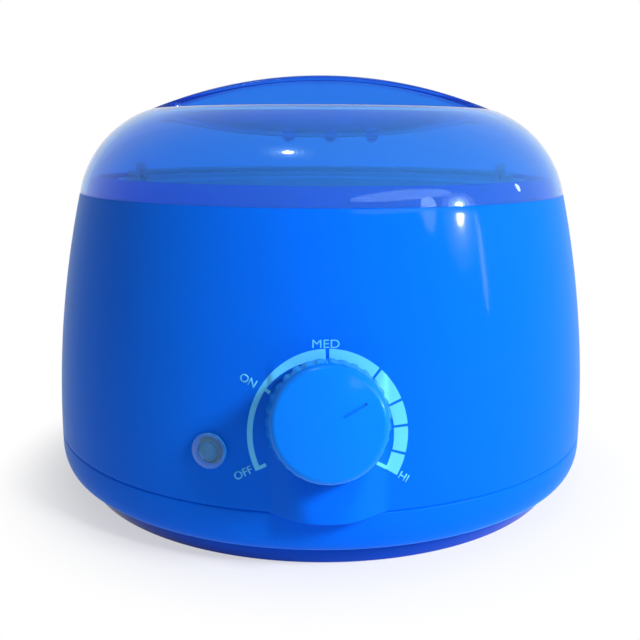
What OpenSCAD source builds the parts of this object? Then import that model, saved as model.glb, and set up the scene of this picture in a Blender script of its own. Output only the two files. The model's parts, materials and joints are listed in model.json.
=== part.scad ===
// Pot heater for hair-removal wax: a rounded plastic casing with a lift-off lid, a lift-out
// metal pot, and an electric heater set by a knob. The origin is at the middle of the foot
// ring's lower face, +Z is up and the knob faces -Y. Sizes are in millimetres.

/* [Casing] */
// Radius of the casing at its widest level
body_r = 91.8; // [88:0.2:111]
// Height of the widest level above the table
wide_z = 15; // [14:0.5:16]
// Radius of the side's upright curve
side_curve = 346; // [320:1:420]
// Height of the casing's lower edge
seam_z = 18.7; // [18:0.1:19.4]
// Height of the ledge that carries the lid
ledge_z = 98; // [81:0.5:100]
// Wall of the moulded plastic
wall = 2.4; // [2:0.1:3]
// Height of the collar inside the lid's rim
collar_h = 5.2; // [4:0.1:6]
// Width of the ledge outside the collar
ledge_w = 2.3; // [2:0.1:3]

/* [Chin and panel] */
// Radius of the rounded column under the knob
chin_r = 15.7; // [15:0.1:17]
// How far the column's foot stands out of the casing
chin_out = 6.8; // [6:0.1:8]
// Backward slope of the knob's panel in degrees
panel_tilt = 15; // [14:0.5:16]
// Height where the knob's axis meets the panel
knob_z = 44.6; // [42:0.1:46]

/* [Base] */
// Height of the foot ring
foot_h = 6.5; // [6:0.1:8]
// Radius of the foot ring at the table
foot_r = 83.4; // [82:0.1:101]
// Outward flare of the foot ring
foot_flare = 3.9; // [2:0.1:4]
// Width of the foot ring's flat face
foot_w = 2.9; // [2.5:0.1:6]
// Radius of the screw shanks that hold the base
base_screw_r = 1.6; // [1.4:0.1:2]

/* [Pot and well] */
// Outer radius of the wax pot
pot_r = 60.9; // [50:0.1:61]
// Sheet of the pot
pot_wall = 1; // [0.8:0.1:1.4]
// Depth of the pot below its flange
pot_depth = 63; // [50:0.5:64]
// Air gap between the pot and the well
pot_gap = 1.4; // [1:0.1:2]
// Sheet of the heating well
well_wall = 1.2; // [1:0.1:1.6]
// Radius of the bail's wire
bail_wire_r = 1.25; // [1:0.05:1.4]
// Height of the bail's pivot over the pot's flange
bail_rise = 3.2; // [3:0.1:4]

/* [Lid] */
// Height of the lid over the ledge
lid_h = 38.1; // [34:0.1:44]
// Wall of the lid
lid_wall = 1.8; // [1.5:0.1:2.2]
// Width of the rounded shoulder
shoulder_w = 21; // [18:0.5:26]
// Rise of the flat dome inside the shoulder
dome_rise = 12.5; // [10:0.5:15]
// Depth of the two finger recesses below the lid's top
recess_depth = 17.5; // [14:0.5:20]
// Width of the slope round the recesses
recess_slope = 24; // [12:0.5:26]
// Half the grip's width at its top
grip_top = 7; // [5:0.5:9]
// Half the grip's width at its foot
grip_foot = 9.5; // [8:0.5:12]

/* [Knob and lamp] */
// Radius of the knob's skirt
knob_r = 16.2; // [14:0.1:19.5]
// Radius of the knob's front edge
knob_front_r = 14.8; // [12.6:0.1:17.8]
// Length of the knob
knob_h = 11; // [9:0.1:13]
// Number of grooves round the knob
knob_grooves = 31; // [24:1:40]
// Angle of the pointer, clockwise from the top
pointer_deg = 60; // [0:1:118]
// Radius of the thermostat's shaft
shaft_r = 3; // [2.5:0.1:3.2]
// Direction of the indicator lamp from the front
lamp_az = -20; // [-24:0.1:-18]
// Height of the indicator lamp
lamp_z = 34.4; // [32:0.1:36]
// Radius of the lamp lens's flange
lens_r = 4.9; // [4.4:0.1:5.4]

/* [Heater] */
// Height of the heating band
band_h = 30; // [20:1:34]
// Thickness of the heating band
band_t = 1.65; // [1.2:0.05:2]
// Thickness of the glass-fibre wrap
wrap_t = 2.5; // [1.5:0.1:3]

/* [Cord entry] */
// Radius of the gland's bore
gland_bore_r = 3.4; // [2.8:0.1:4]
// Height of the gland
gland_z = 31; // [30:0.5:36]

/* [Hidden] */
$fn = 96;

// Clearances: between mouldings, of a screw in its pilot hole, and of a turning shaft
fit = 0.3;
pilot_fit = 0.05;
turn_fit = 0.05;
// Overlap that joins shapes of one solid, and the overshoot of a cut
bite = 0.4;
past = 1;
// Steps along a curved outline
steps = 12;
// Side of a block that trims a shape by one face and clears it everywhere else
trim = 90;
// Head and nut of the small screws
small_head_r = 2.8;
nut_r = 3.2;
nut_h = 2.4;

casing_blue = [0.02, 0.36, 0.90];
knob_blue = [0.03, 0.45, 0.98];
foot_blue = [0.02, 0.22, 0.72];
lid_blue = [0.05, 0.22, 0.80, 0.7];
metal_grey = [0.75, 0.76, 0.78];
steel_grey = [0.60, 0.61, 0.63];
ceramic_white = [0.90, 0.89, 0.84];
wire_red = [0.75, 0.12, 0.10];
wire_black = [0.12, 0.12, 0.13];

// Radius of the casing's side at a height, and of surfaces inside it by an inset
function side_r(z, inset = 0) =
    body_r - side_curve + sqrt(pow(side_curve - inset, 2) - pow(z - wide_z, 2));
function side_slope(z) = asin((z - wide_z) / side_curve);
function side_points(z0, z1, inset = 0) =
    [for (i = [0:steps]) let (z = z0 + (z1 - z0) * i / steps) [side_r(z, inset), z]];
function arc_points(centre, r, from, to, n = 6) =
    [for (i = [0:n]) let (a = from + (to - from) * i / n) centre + r * [cos(a), sin(a)]];
function around(r, az, z) = [r * sin(az), -r * cos(az), z];

// Base levels
floor_t = wall;
floor_z = foot_h - floor_t + 0.1;
floor_top = floor_z + floor_t;
foot_in_r = foot_r - foot_w;
step_r = foot_in_r - fit;
floor_flat_r = step_r - 3;
base_seat_r = foot_r + foot_flare + 0.5;
slot_count = 12;
slot_w = 2.6;
slot_from = 18;
slot_to = 48;
pillar_r = step_r - 7;
pillar_web = 2;
pillar_size = 3.8;
pillar_top = 44;
base_screw_head = 3.2;
base_screw_len = 17;
head_h = 2;
screw_az = [45, 135, 225, 315];

// Lap between the base's tongue and the casing's rebate
lap_r = body_r - 1.3;
lap_h = 3.6;
lap_top = seam_z + lap_h;
tongue_r = lap_r - fit;
base_in_r = body_r - 2.7;
seam_gap = 0.4;

// Deck, pot and well
deck_z = ledge_z + 1;
deck_t = wall + 0.2;
deck_under = deck_z - deck_t;
collar_r = side_r(ledge_z) - ledge_w;
collar_top_r = collar_r - 1.8;
collar_in_r = collar_top_r - wall;
collar_top = ledge_z + collar_h;
pot_bottom = deck_z - pot_depth;
well_in_r = pot_r + pot_gap;
well_r = well_in_r + well_wall;
well_bottom = pot_bottom - pot_gap - well_wall;
deck_in_r = well_r + 0.8;
lip_r = deck_in_r + 2.2;
lip_z = deck_z - 10.4;
well_flange_z = lip_z - well_wall;
well_flange_r = lip_r + 1.5;
well_screw_r = lip_r + 5;
well_boss_r = 4;
well_shank_r = 1.4;
well_screw_len = 7;
well_ear_w = 10;
well_az = [0, 90, 180, 270];
flange_t = 1.2;
bead_r = 1.4;
bead_at = pot_r + 7.9;
bead_z = deck_z + bead_r + fit + 0.1;
corner_r = 6;

// Bail and its ears
ear_x = pot_r + 2.1;
ear_t = 1.2;
ear_w = 10;
ear_foot = 4;
ear_foot_t = 1;
pivot_play = 0.08;
pivot_z = deck_z + flange_t + bail_rise;
pivot_r = bail_wire_r - 0.05;
bail_r = ear_x + 3.5;
ear_top = pivot_z + 4;
bail_head_r = 1.9;
bail_head_t = 1.2;
bail_head_gap = 0.4;

// Lid outline: a flat dome of one radius, and a shoulder that runs into it smoothly
lid_top = ledge_z + lid_h;
lid_rim = [side_r(ledge_z), ledge_z];
dome_edge = [lid_rim[0] - shoulder_w, lid_top - dome_rise];
dome_curve = (pow(dome_edge[0], 2) + pow(dome_rise, 2)) / (2 * dome_rise);
dome_centre = [0, lid_top - dome_curve];
dome_dir = (dome_edge - dome_centre) / dome_curve;
rim_step = lid_rim - dome_edge;
shoulder_curve = -(rim_step * rim_step) / (2 * (dome_dir * rim_step));
shoulder_centre = dome_edge - shoulder_curve * dome_dir;
dome_angle = atan2(dome_dir[1], dome_dir[0]);
recess_floor = lid_top - recess_depth;
recess_r = dome_edge[0] - 4;
pip_x = [-11, 2.4, 15.8];
pip_y = -20;
pip_r = 2.1;
pip_h = 2.4;

// Knob, on an axis square to the panel
chin_reach = body_r + chin_out;
chin_y = chin_reach - chin_r;
chin_top = 62;
panel_y = chin_reach - (knob_z - seam_z) * tan(panel_tilt);
knob_top_z = knob_z + knob_r * cos(panel_tilt);
knob_lift = (side_r(knob_top_z) + 0.4 - panel_y + knob_r * sin(panel_tilt)) / cos(panel_tilt);
knob_gap = max(1.2, knob_lift);
knob_front = knob_gap + knob_h;
knob_skin = 1.8;
knob_edge = 1.5;
knob_crown = 0.5;
knob_slope = (knob_r - knob_front_r) / (knob_h - knob_edge);
hub_r = shaft_r + 1.6;
hub_start = knob_gap + 2;
knob_inside = knob_front - 2.4;
hub_floor = knob_inside + 0.2;
shaft_flat = shaft_r - 0.8;
shaft_end = knob_inside - 0.2;
shaft_in = 5;
spring_t = 0.6;
spring_h = 3;
groove_r = 0.9;
groove_out = 0.35;
groove_stop = 0.2;
pointer_w = 0.7;
pointer_deep = 0.3;
pointer_from = 3.2;
pointer_len = 7;

// Thermostat behind the panel, on two bosses
bush_r = shaft_r + 1;
panel_hole_r = bush_r + fit;
boss_x = 9;
boss_size = 3;
boss_end = wall + 4.6;
bracket_t = 1.2;
bracket_size = [24, 16];
stat_size = [24, 19, 11.2];
stat_front = boss_end + bracket_t;
stat_back = stat_front + stat_size[2];
stat_shank_r = 1.5;
stat_head_r = 3;
stat_head_h = 1.5;
tab_x = 7;
tab_size = [5, 6, 0.8];
tab_depth = stat_back - 4;

// Indicator lamp
stem_r = 3.6;
stem_len = 7.5;
lamp_bore_r = 2.8;
bulb_r = lamp_bore_r - fit;
lamp_back = 12;
resistor_r = 1.3;
resistor_len = 6.8;
resistor_z = lamp_back + 1 + resistor_len;
resistor_pin = 0.35;
retainer_r = 6;
retainer_t = 1.2;
lamp_lead_r = 0.6;

// Heating band and what holds it
band_z = well_bottom + 6.6;
band_r = well_r + pilot_fit + band_t;
strap_t = 0.6;
strap_w = 8;
strap_z = band_z + band_h - strap_w - 2;
strap_r = band_r + pilot_fit + strap_t;
wrap_in_r = strap_r + pilot_fit;
wrap_r = wrap_in_r + wrap_t;
band_gap = 8;
strap_gap = 5;
wrap_gap = 40;
wrap_over = 2;
post_az = 28;
post_r = 2.5;
post_z = band_z + 8;
post_end = band_r + 4;
lug_len = 9;
lug_y = band_r + 6;
lug_x = 5.2;
lug_t = 1.2;
lug_inset = 0.5;
lug_reach = lug_x + lug_t;
clamp_shank_r = 1.5;
clamp_len = 2 * lug_reach + nut_h + 1.6;

// Under the well: fuse, sensor bulb and earth stud
fuse_r = 2;
fuse_len = 12;
fuse_y = 38;
under_z = well_bottom - 0.2 - fuse_r;
bulb_y = -22;
bulb_len = 34;
bulb_size = 2;
capillary_r = 0.7;
clip_fit = 0.2;
clip_w = 6;
clip_t = 0.7;
clip_foot = 4;
stud_y = 52;
stud_size = 1.5;
stud_len = 6;
tag_t = 1;
tag_r = 3.6;
tag_w = 4;
tag_end = stud_y + 8;

// Terminal block and the wires that lie in the base
block_size = [32, 14, 11];
block_y = floor_flat_r - block_size[1] / 2 - 2.4;
block_front = block_y - block_size[1] / 2;
pole_x = [-10, 0, 10];
pole_r = 1.8;
pole_deep = 4;
pole_screw_h = 3.2;
wire_r = 1.1;
wire_end = 0.3;
loom_z = floor_top + wire_r + 4;
low_z = floor_top + 2;
hole_z = floor_top + block_size[2] / 2;
rise_z = (hole_z + under_z) / 2;

// Gland at the back
gland_barrel_r = gland_bore_r + 2;
gland_flange_r = gland_barrel_r + 1.8;
gland_flange_t = 3;
gland_len = 9;
gland_nut_r = gland_barrel_r + 2.6;
gland_nut_h = 3.5;
gland_hole = gland_barrel_r + 0.1;
lamp_hole = stem_r + 0.1;

// Frame on the casing's side: +Z points out of the wall, +Y up it
module on_side(az, z) {
    rotate([0, 0, az])
        translate([0, -side_r(z), z])
            rotate([90 - side_slope(z), 0, 0])
                children();
}

// Frame on the knob's panel: +Z points out along the knob's axis, +Y up the panel
module on_panel() {
    translate([0, -panel_y, knob_z])
        rotate([90 - panel_tilt, 0, 0])
            children();
}

// Plain screw along Z: its head's seat at z = 0, the head below it and the shank above
module screw(shank_r, shank_len, head_r, head_len) {
    translate([0, 0, -head_len])
        cylinder(r = head_r, h = head_len);
    translate([0, 0, -bite])
        cylinder(r = shank_r, h = shank_len + bite);
}

// Round wire along a route of points, as rings square to its mean direction
function unit(v) = v / norm(v);
function route_dir(p, i) =
    i == 0 ? unit(p[1] - p[0]) :
    i == len(p) - 1 ? unit(p[i] - p[i - 1]) :
    unit(unit(p[i + 1] - p[i]) + unit(p[i] - p[i - 1]));
function route_frames(p, u, i = 0) =
    i == len(p) ? [] :
    let (d = route_dir(p, i), w = unit(u - d * (u * d)))
    concat([[w, cross(d, w)]], route_frames(p, w, i + 1));

module wire(route, r = wire_r, sides = 8) {
    start = unit(route[1] - route[0]);
    side = cross(start, abs(start[2]) < 0.9 ? [0, 0, 1] : [1, 0, 0]);
    frames = route_frames(route, unit(side));
    points = [for (i = [0:len(route) - 1], k = [0:sides - 1])
        let (a = 360 * k / sides)
        route[i] + r * (cos(a) * frames[i][0] + sin(a) * frames[i][1])];
    last = (len(route) - 1) * sides;
    walls = [for (i = [0:len(route) - 2], k = [0:sides - 1], half = [0, 1])
        let (a = i * sides + k, b = i * sides + (k + 1) % sides)
        half == 0 ? [a, a + sides, b + sides] : [a, b + sides, b]];
    ends = concat(
        [for (k = [1:sides - 2]) [0, k, k + 1]],
        [for (k = [1:sides - 2]) [last, last + k + 1, last + k]]);
    polyhedron(points = points, faces = concat(walls, ends));
}

// Rounded column under the knob, cut back to the panel's slope; an inset gives its hollow
module chin(inset = 0, from_z = seam_z) {
    intersection() {
        translate([0, -chin_y, from_z])
            cylinder(r = chin_r - inset, h = chin_top - from_z);
        translate([0, -chin_reach, seam_z])
            rotate([-panel_tilt, 0, 0])
                translate([-trim / 2, inset, -trim / 4])
                    cube(trim);
    }
}

// Space inside the casing, up to the underside of the deck
module casing_space() {
    rotate_extrude()
        polygon(concat(
            [[0, seam_z - past], [lap_r, seam_z - past], [lap_r, lap_top]],
            side_points(lap_top, deck_under, wall),
            [[0, deck_under]]));
}

module casing_solid() {
    rotate_extrude()
        polygon(concat(
            [[0, seam_z]],
            side_points(seam_z, ledge_z),
            [[collar_r, ledge_z], [collar_top_r, collar_top], [collar_in_r, collar_top],
             [collar_in_r, deck_z], [0, deck_z]]));
}

// Moulded casing: side, ledge, collar, deck with its lip, chin, pillars and bosses
module outer_shell() {
    color(casing_blue)
        difference() {
            union() {
                difference() {
                    union() {
                        casing_solid();
                        chin();
                    }
                    casing_space();
                    chin(wall, lap_top + fit);
                    translate([0, 0, deck_under - past])
                        cylinder(r = deck_in_r, h = deck_t + 2 * past);
                }
                shell_lip();
                for (az = screw_az) {
                    shell_pillar(az);
                }
                for (az = well_az) {
                    translate(around(well_screw_r, az, lip_z))
                        cylinder(r = well_boss_r, h = deck_under - lip_z + bite);
                }
                for (x = [-boss_x, boss_x]) {
                    on_panel()
                        translate([x, 0, -boss_end])
                            cylinder(r = boss_size, h = boss_end - wall + bite);
                }
            }
            for (az = screw_az) {
                translate(around(pillar_r, az, floor_top - past))
                    cylinder(r = base_screw_r + pilot_fit, h = base_screw_len + past);
            }
            for (az = well_az) {
                translate(around(well_screw_r, az, lip_z - past))
                    cylinder(r = well_shank_r + pilot_fit, h = well_screw_len + past);
            }
            on_panel() {
                translate([0, 0, -wall - past])
                    cylinder(r = panel_hole_r, h = wall + 2 * past);
                for (x = [-boss_x, boss_x]) {
                    translate([x, 0, -boss_end - past])
                        cylinder(r = stat_shank_r + fit, h = boss_end + 2 * past);
                }
            }
            on_side(lamp_az, lamp_z)
                translate([0, 0, -2 * wall])
                    cylinder(r = lamp_hole, h = 3 * wall);
            on_side(180, gland_z)
                translate([0, 0, -2 * wall])
                    cylinder(r = gland_hole, h = 3 * wall);
        }
}

// Ring that hangs from the deck's inner edge and seats on the well's flange
module shell_lip() {
    translate([0, 0, lip_z])
        difference() {
            cylinder(r = lip_r, h = deck_under - lip_z + bite);
            translate([0, 0, -past])
                cylinder(r = deck_in_r, h = deck_under - lip_z + bite + 2 * past);
        }
}

// Screw pillar that stands on the base's floor, with a web to the casing's side
module shell_pillar(az) {
    web_z = lap_top + 2;
    web_end = side_r((web_z + pillar_top) / 2, wall / 2);
    translate(around(pillar_r, az, floor_top))
        cylinder(r = pillar_size, h = pillar_top - floor_top);
    rotate([0, 0, az])
        translate([-pillar_web / 2, -web_end, web_z])
            cube([pillar_web, web_end - pillar_r, pillar_top - web_z]);
}

// Rounded lower edge of the base: a quarter of an ellipse up to the widest level
function base_edge() =
    [for (i = [0:steps]) let (a = 90 * i / steps - 90)
        [base_seat_r + (body_r - base_seat_r) * cos(a), wide_z + (wide_z - foot_h) * sin(a)]];

// Base cover: floor with air slots, curved side and a tongue behind the casing's edge
module base_cover() {
    side_top = seam_z - seam_gap;
    step_top = foot_h + wall;
    color(casing_blue)
        difference() {
            rotate_extrude()
                polygon(concat(
                    [[0, floor_z], [step_r, floor_z], [step_r, foot_h]],
                    base_edge(),
                    [[side_r(side_top), side_top], [tongue_r, side_top],
                     [tongue_r, lap_top - fit], [base_in_r, lap_top - fit],
                     [base_in_r, step_top + wall], [base_seat_r - 0.6, step_top],
                     [step_r - 1, step_top], [floor_flat_r, floor_top], [0, floor_top]]));
            for (az = screw_az) {
                translate(around(pillar_r, az, floor_z - past))
                    cylinder(r = base_screw_r + fit, h = floor_t + 2 * past);
            }
            for (i = [0:slot_count - 1]) {
                rotate([0, 0, 360 * (i + 0.5) / slot_count])
                    translate([0, 0, floor_z - past])
                        linear_extrude(floor_t + 2 * past)
                            air_slot();
            }
        }
}

module air_slot() {
    translate([slot_from, -slot_w / 2])
        square([slot_to - slot_from, slot_w]);
    for (x = [slot_from, slot_to]) {
        translate([x, 0])
            circle(d = slot_w);
    }
}

// Flared ring that the appliance stands on
module foot_ring() {
    color(foot_blue)
        rotate_extrude()
            polygon([
                [foot_in_r, 0], [foot_r, 0], [foot_r + foot_flare, foot_h], [foot_in_r, foot_h]
            ]);
}

module base_screws() {
    color(steel_grey)
        for (az = screw_az) {
            translate(around(pillar_r, az, floor_z))
                screw(base_screw_r, base_screw_len, base_screw_head, head_h);
        }
}

// Cup outline with a rounded corner, for the well and the pot: outer, then inner
function cup_points(r, t, z0, z1, corner) = concat(
    [[0, z0]],
    arc_points([r - corner, z0 + corner], corner, -90, 0),
    [[r, z1], [r - t, z1]],
    arc_points([r - corner, z0 + corner], corner - t, 0, -90),
    [[0, z0 + t]]);

// Sheet well that the pot hangs in, screwed under the deck by four ears
module heating_well() {
    color(metal_grey)
        difference() {
            union() {
                rotate_extrude()
                    polygon(cup_points(well_r, well_wall, well_bottom, lip_z, corner_r));
                translate([0, 0, well_flange_z])
                    linear_extrude(well_wall)
                        difference() {
                            union() {
                                circle(r = well_flange_r);
                                for (az = well_az) {
                                    rotate(az)
                                        translate([-well_ear_w / 2, -well_screw_r - well_boss_r])
                                            square([well_ear_w, 3 * well_boss_r]);
                                }
                            }
                            circle(r = well_r - bite);
                        }
            }
            for (az = well_az) {
                translate(around(well_screw_r, az, well_flange_z - past))
                    cylinder(r = well_shank_r + fit, h = well_wall + 2 * past);
            }
        }
}

module well_screws() {
    color(steel_grey)
        for (az = well_az) {
            translate(around(well_screw_r, az, well_flange_z))
                screw(well_shank_r, well_screw_len, small_head_r, head_h);
        }
}

// Ring sector of square section round Z, open by a gap on each side of the back
module open_ring(r_in, r_out, z, h, gap) {
    translate([0, 0, z])
        rotate([0, 0, 90 + gap])
            rotate_extrude(angle = 360 - 2 * gap)
                translate([r_in, 0])
                    square([r_out - r_in, h]);
}

// Mica heating band with two insulated terminal posts at the back
module heater_band() {
    color(ceramic_white) {
        open_ring(well_r + pilot_fit, band_r, band_z, band_h, band_gap);
        for (az = [180 - post_az, 180 + post_az]) {
            rotate([0, 0, az])
                translate([0, -band_r + bite, post_z])
                    rotate([90, 0, 0])
                        cylinder(r = post_r, h = post_end - band_r + bite);
        }
    }
}

// Spring-steel strap that draws the band tight, with two turned-out lugs
module heater_clamp() {
    color(steel_grey)
        difference() {
            union() {
                open_ring(band_r + pilot_fit, strap_r, strap_z, strap_w, strap_gap);
                for (x = [-lug_reach, lug_x]) {
                    translate([x, band_r - bite, strap_z + lug_inset])
                        cube([lug_t, lug_len, strap_w - 2 * lug_inset]);
                }
            }
            translate([0, lug_y, strap_z + strap_w / 2])
                rotate([0, 90, 0])
                    cylinder(r = clamp_shank_r + pilot_fit, h = 4 * lug_reach, center = true);
        }
}

// Hexagon nut on a shank, from z = 0 up
module nut(shank_r, r = nut_r, h = nut_h) {
    difference() {
        cylinder(r = r, h = h, $fn = 6);
        translate([0, 0, -past])
            cylinder(r = shank_r + pilot_fit, h = h + 2 * past);
    }
}

module clamp_screw() {
    color(steel_grey)
        translate([-lug_reach, lug_y, strap_z + strap_w / 2])
            rotate([0, 90, 0]) {
                screw(clamp_shank_r, clamp_len, small_head_r, head_h);
                translate([0, 0, 2 * lug_reach])
                    nut(clamp_shank_r);
            }
}

module insulation_wrap() {
    color([0.93, 0.92, 0.86])
        open_ring(wrap_in_r, wrap_r, band_z - wrap_over, band_h + 2 * wrap_over, wrap_gap);
}

// Thermostat: ceramic case with a threaded bush round its shaft and two tabs
module thermostat_body() {
    color(ceramic_white)
        on_panel()
            difference() {
                union() {
                    translate([-stat_size[0] / 2, -stat_size[1] / 2, -stat_back])
                        cube(stat_size);
                    translate([0, 0, -stat_front - bite])
                        cylinder(r = bush_r, h = stat_front + bite - wall / 2);
                    for (x = [-tab_x, tab_x]) {
                        translate([x - tab_size[0] / 2, -stat_size[1] / 2 - tab_size[1], -tab_depth])
                            cube([tab_size[0], tab_size[1] + bite, tab_size[2]]);
                    }
                }
                translate([0, 0, -stat_front - shaft_in])
                    cylinder(r = shaft_r + turn_fit, h = stat_front + shaft_in);
            }
}

// Steel plate between the thermostat and the panel's bosses
module thermostat_bracket() {
    color(steel_grey)
        on_panel()
            translate([0, 0, -boss_end - bracket_t])
                difference() {
                    translate([-bracket_size[0] / 2, -bracket_size[1] / 2, 0])
                        cube([bracket_size[0], bracket_size[1], bracket_t]);
                    translate([0, 0, -past])
                        cylinder(r = bush_r + pilot_fit, h = bracket_t + 2 * past);
                    for (x = [-boss_x, boss_x]) {
                        translate([x, 0, -past])
                            cylinder(r = stat_shank_r + pilot_fit, h = bracket_t + 2 * past);
                    }
                }
}

module thermostat_screws() {
    color(steel_grey)
        on_panel()
            for (x = [-boss_x, boss_x]) {
                translate([x, 0, 0])
                    rotate([180, 0, 0])
                        screw(stat_shank_r, boss_end + bracket_t - 0.1, stat_head_r, stat_head_h);
            }
}

// Shaft that carries the knob, with a flat along its front end
module thermostat_shaft() {
    color(metal_grey)
        on_panel()
            difference() {
                translate([0, 0, past - stat_front - shaft_in])
                    cylinder(r = shaft_r, h = stat_front + shaft_in - past + shaft_end);
                translate([-shaft_r, shaft_flat, hub_start - past])
                    cube([2 * shaft_r, shaft_r, shaft_end]);
            }
}

// Liquid-filled sensor bulb under the well, and its capillary to the thermostat
module sensor_bulb() {
    neck = -stat_back - wire_end - 0.5;
    low = 4;
    stat_end = [6, -panel_y - neck * cos(panel_tilt) - low * sin(panel_tilt),
        knob_z + neck * sin(panel_tilt) - low * cos(panel_tilt)];
    color([0.80, 0.50, 0.30]) {
        translate([-bulb_len / 2, bulb_y, under_z])
            rotate([0, 90, 0])
                cylinder(r = bulb_size, h = bulb_len);
        wire([
            stat_end, stat_end + [1.5, 0.8, -1.5], [9, -wrap_r - 2.6, under_z + 1],
            [11, 4 - wrap_r, under_z - 1], [16, -52, under_z], [26, -36, under_z],
            [26, -26, under_z], [22, bulb_y, under_z], [bulb_len / 2 - bite, bulb_y, under_z]
        ], capillary_r);
    }
}

// Sheet bridge under a round piece that lies along X, with feet spot-welded to the well
module bridge_clip(r, y) {
    out_r = r + clip_fit + clip_t;
    translate([-clip_w / 2, y, under_z])
        rotate([90, 0, 90])
            linear_extrude(clip_w)
                difference() {
                    union() {
                        circle(r = out_r);
                        translate([-out_r, 0])
                            square([2 * out_r, well_bottom - under_z]);
                        translate([-out_r - clip_foot, well_bottom - under_z - clip_t])
                            square([2 * (out_r + clip_foot), clip_t]);
                    }
                    circle(r = out_r - clip_t);
                    translate([-out_r + clip_t, 0])
                        square([2 * (out_r - clip_t), 3 * r]);
                }
}

module bulb_clip() {
    color(steel_grey)
        bridge_clip(bulb_size, bulb_y);
}

// Groove-edged knob with a hub for the shaft and a pointer line on its face
module knob() {
    color(knob_blue)
        on_panel() {
            difference() {
                rotate_extrude()
                    polygon(concat(
                        [[knob_r, knob_gap]],
                        arc_points([knob_front_r - knob_edge, knob_front - knob_edge],
                            knob_edge, 0, 80),
                        [[0, knob_front + knob_crown], [0, hub_floor],
                         [shaft_r + turn_fit, hub_floor], [shaft_r + turn_fit, hub_start],
                         [hub_r, hub_start], [hub_r, knob_inside],
                         [knob_front_r - knob_skin, knob_inside], [knob_r - knob_skin, knob_gap]]));
                for (i = [0:knob_grooves - 1]) {
                    rotate([0, 0, 360 * (i + 0.5) / knob_grooves])
                        translate([knob_r + groove_out, 0, knob_gap - past])
                            rotate([0, -atan(knob_slope), 0])
                                cylinder(r = groove_r, h = knob_h - groove_stop + past, $fn = 24);
                }
                rotate([0, 0, -pointer_deg])
                    translate([-pointer_w / 2, pointer_from, knob_front - pointer_deep])
                        cube([pointer_w, pointer_len, pointer_deep + 2 * knob_crown]);
            }
            intersection() {
                translate([0, 0, hub_start])
                    cylinder(r = shaft_r + bite, h = hub_floor + bite / 2 - hub_start);
                translate([-hub_r, shaft_flat + turn_fit, hub_start - past])
                    cube([2 * hub_r, hub_r, knob_h]);
            }
        }
}

// Open spring ring that grips the knob's hub
module knob_spring() {
    color(steel_grey)
        on_panel()
            translate([0, 0, hub_start + bite])
                rotate_extrude(angle = 310)
                    translate([hub_r + pilot_fit, 0])
                        square([spring_t, spring_h]);
}

// Stepped clear lens of the indicator lamp
module lamp_lens() {
    color([0.75, 0.78, 0.85, 0.6])
        on_side(lamp_az, lamp_z)
            rotate_extrude()
                polygon([
                    [0, 2.2], [2.3, 1.9], [2.5, 1.4], [3.6, 2], [lens_r, 1.2], [lens_r, 0],
                    [stem_r, 0], [stem_r, -stem_len], [lamp_bore_r, -stem_len],
                    [lamp_bore_r, 0.2], [0, 0.6]
                ]);
}

// Push-on ring that holds the lens from inside the wall
module lamp_retainer() {
    color(steel_grey)
        on_side(lamp_az, lamp_z)
            translate([0, 0, -wall - fit - retainer_t])
                difference() {
                    cylinder(r = retainer_r, h = retainer_t);
                    translate([0, 0, -past])
                        cylinder(r = stem_r + pilot_fit, h = retainer_t + 2 * past);
                }
}

module neon_lamp() {
    color([1, 0.55, 0.3])
        on_side(lamp_az, lamp_z)
            rotate_extrude()
                polygon(concat(
                    [[0, -lamp_back], [bulb_r, -lamp_back]],
                    arc_points([0, -0.2 - bulb_r], bulb_r, 0, 90)));
}

module lamp_resistor() {
    color([0.80, 0.68, 0.45])
        on_side(lamp_az, lamp_z)
            translate([0, 0, -resistor_z]) {
                cylinder(r = resistor_r, h = resistor_len);
                cylinder(r = resistor_pin, h = resistor_z - lamp_back - 0.1);
            }
}

module thermal_fuse() {
    color(ceramic_white)
        translate([-fuse_len / 2, fuse_y, under_z])
            rotate([0, 90, 0])
                cylinder(r = fuse_r, h = fuse_len);
}

module fuse_clip() {
    color(steel_grey)
        bridge_clip(fuse_r, fuse_y);
}

// Three-way block on the base's floor, with a wire hole and a clamp screw at each pole
module terminal_block() {
    color(ceramic_white)
        difference() {
            translate([-block_size[0] / 2, block_y - block_size[1] / 2, floor_top])
                cube(block_size);
            for (x = pole_x) {
                translate([x, block_y, hole_z])
                    rotate([90, 0, 0])
                        cylinder(r = wire_r + fit, h = block_size[1] + 2 * past, center = true);
                translate([x, block_y, floor_top + block_size[2] - pole_deep])
                    cylinder(r = pole_r, h = pole_deep + past);
            }
        }
}

module terminal_screws() {
    color([0.80, 0.66, 0.30])
        for (x = pole_x) {
            translate([x, block_y, floor_top + block_size[2] - pole_deep])
                cylinder(r = pole_r - pilot_fit, h = pole_screw_h);
        }
}

// Flanged gland for the supply cord, with its nut inside the wall
module cord_gland() {
    color([0.10, 0.10, 0.12])
        on_side(180, gland_z)
            difference() {
                union() {
                    cylinder(r = gland_flange_r, h = gland_flange_t);
                    translate([0, 0, -gland_len])
                        cylinder(r = gland_barrel_r, h = gland_len + bite);
                }
                translate([0, 0, -gland_len - past])
                    cylinder(r = gland_bore_r, h = gland_len + gland_flange_t + 2 * past);
            }
}

module gland_nut() {
    color([0.15, 0.15, 0.17])
        on_side(180, gland_z)
            translate([0, 0, -wall - bite - gland_nut_h])
                nut(gland_barrel_r, gland_nut_r, gland_nut_h);
}

// Stud welded to the well's underside, with its nut
module earth_stud() {
    color(steel_grey) {
        translate([0, stud_y, well_bottom - stud_len])
            cylinder(r = stud_size, h = stud_len);
        translate([0, stud_y, well_bottom - tag_t - nut_h])
            nut(stud_size);
    }
}

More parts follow.
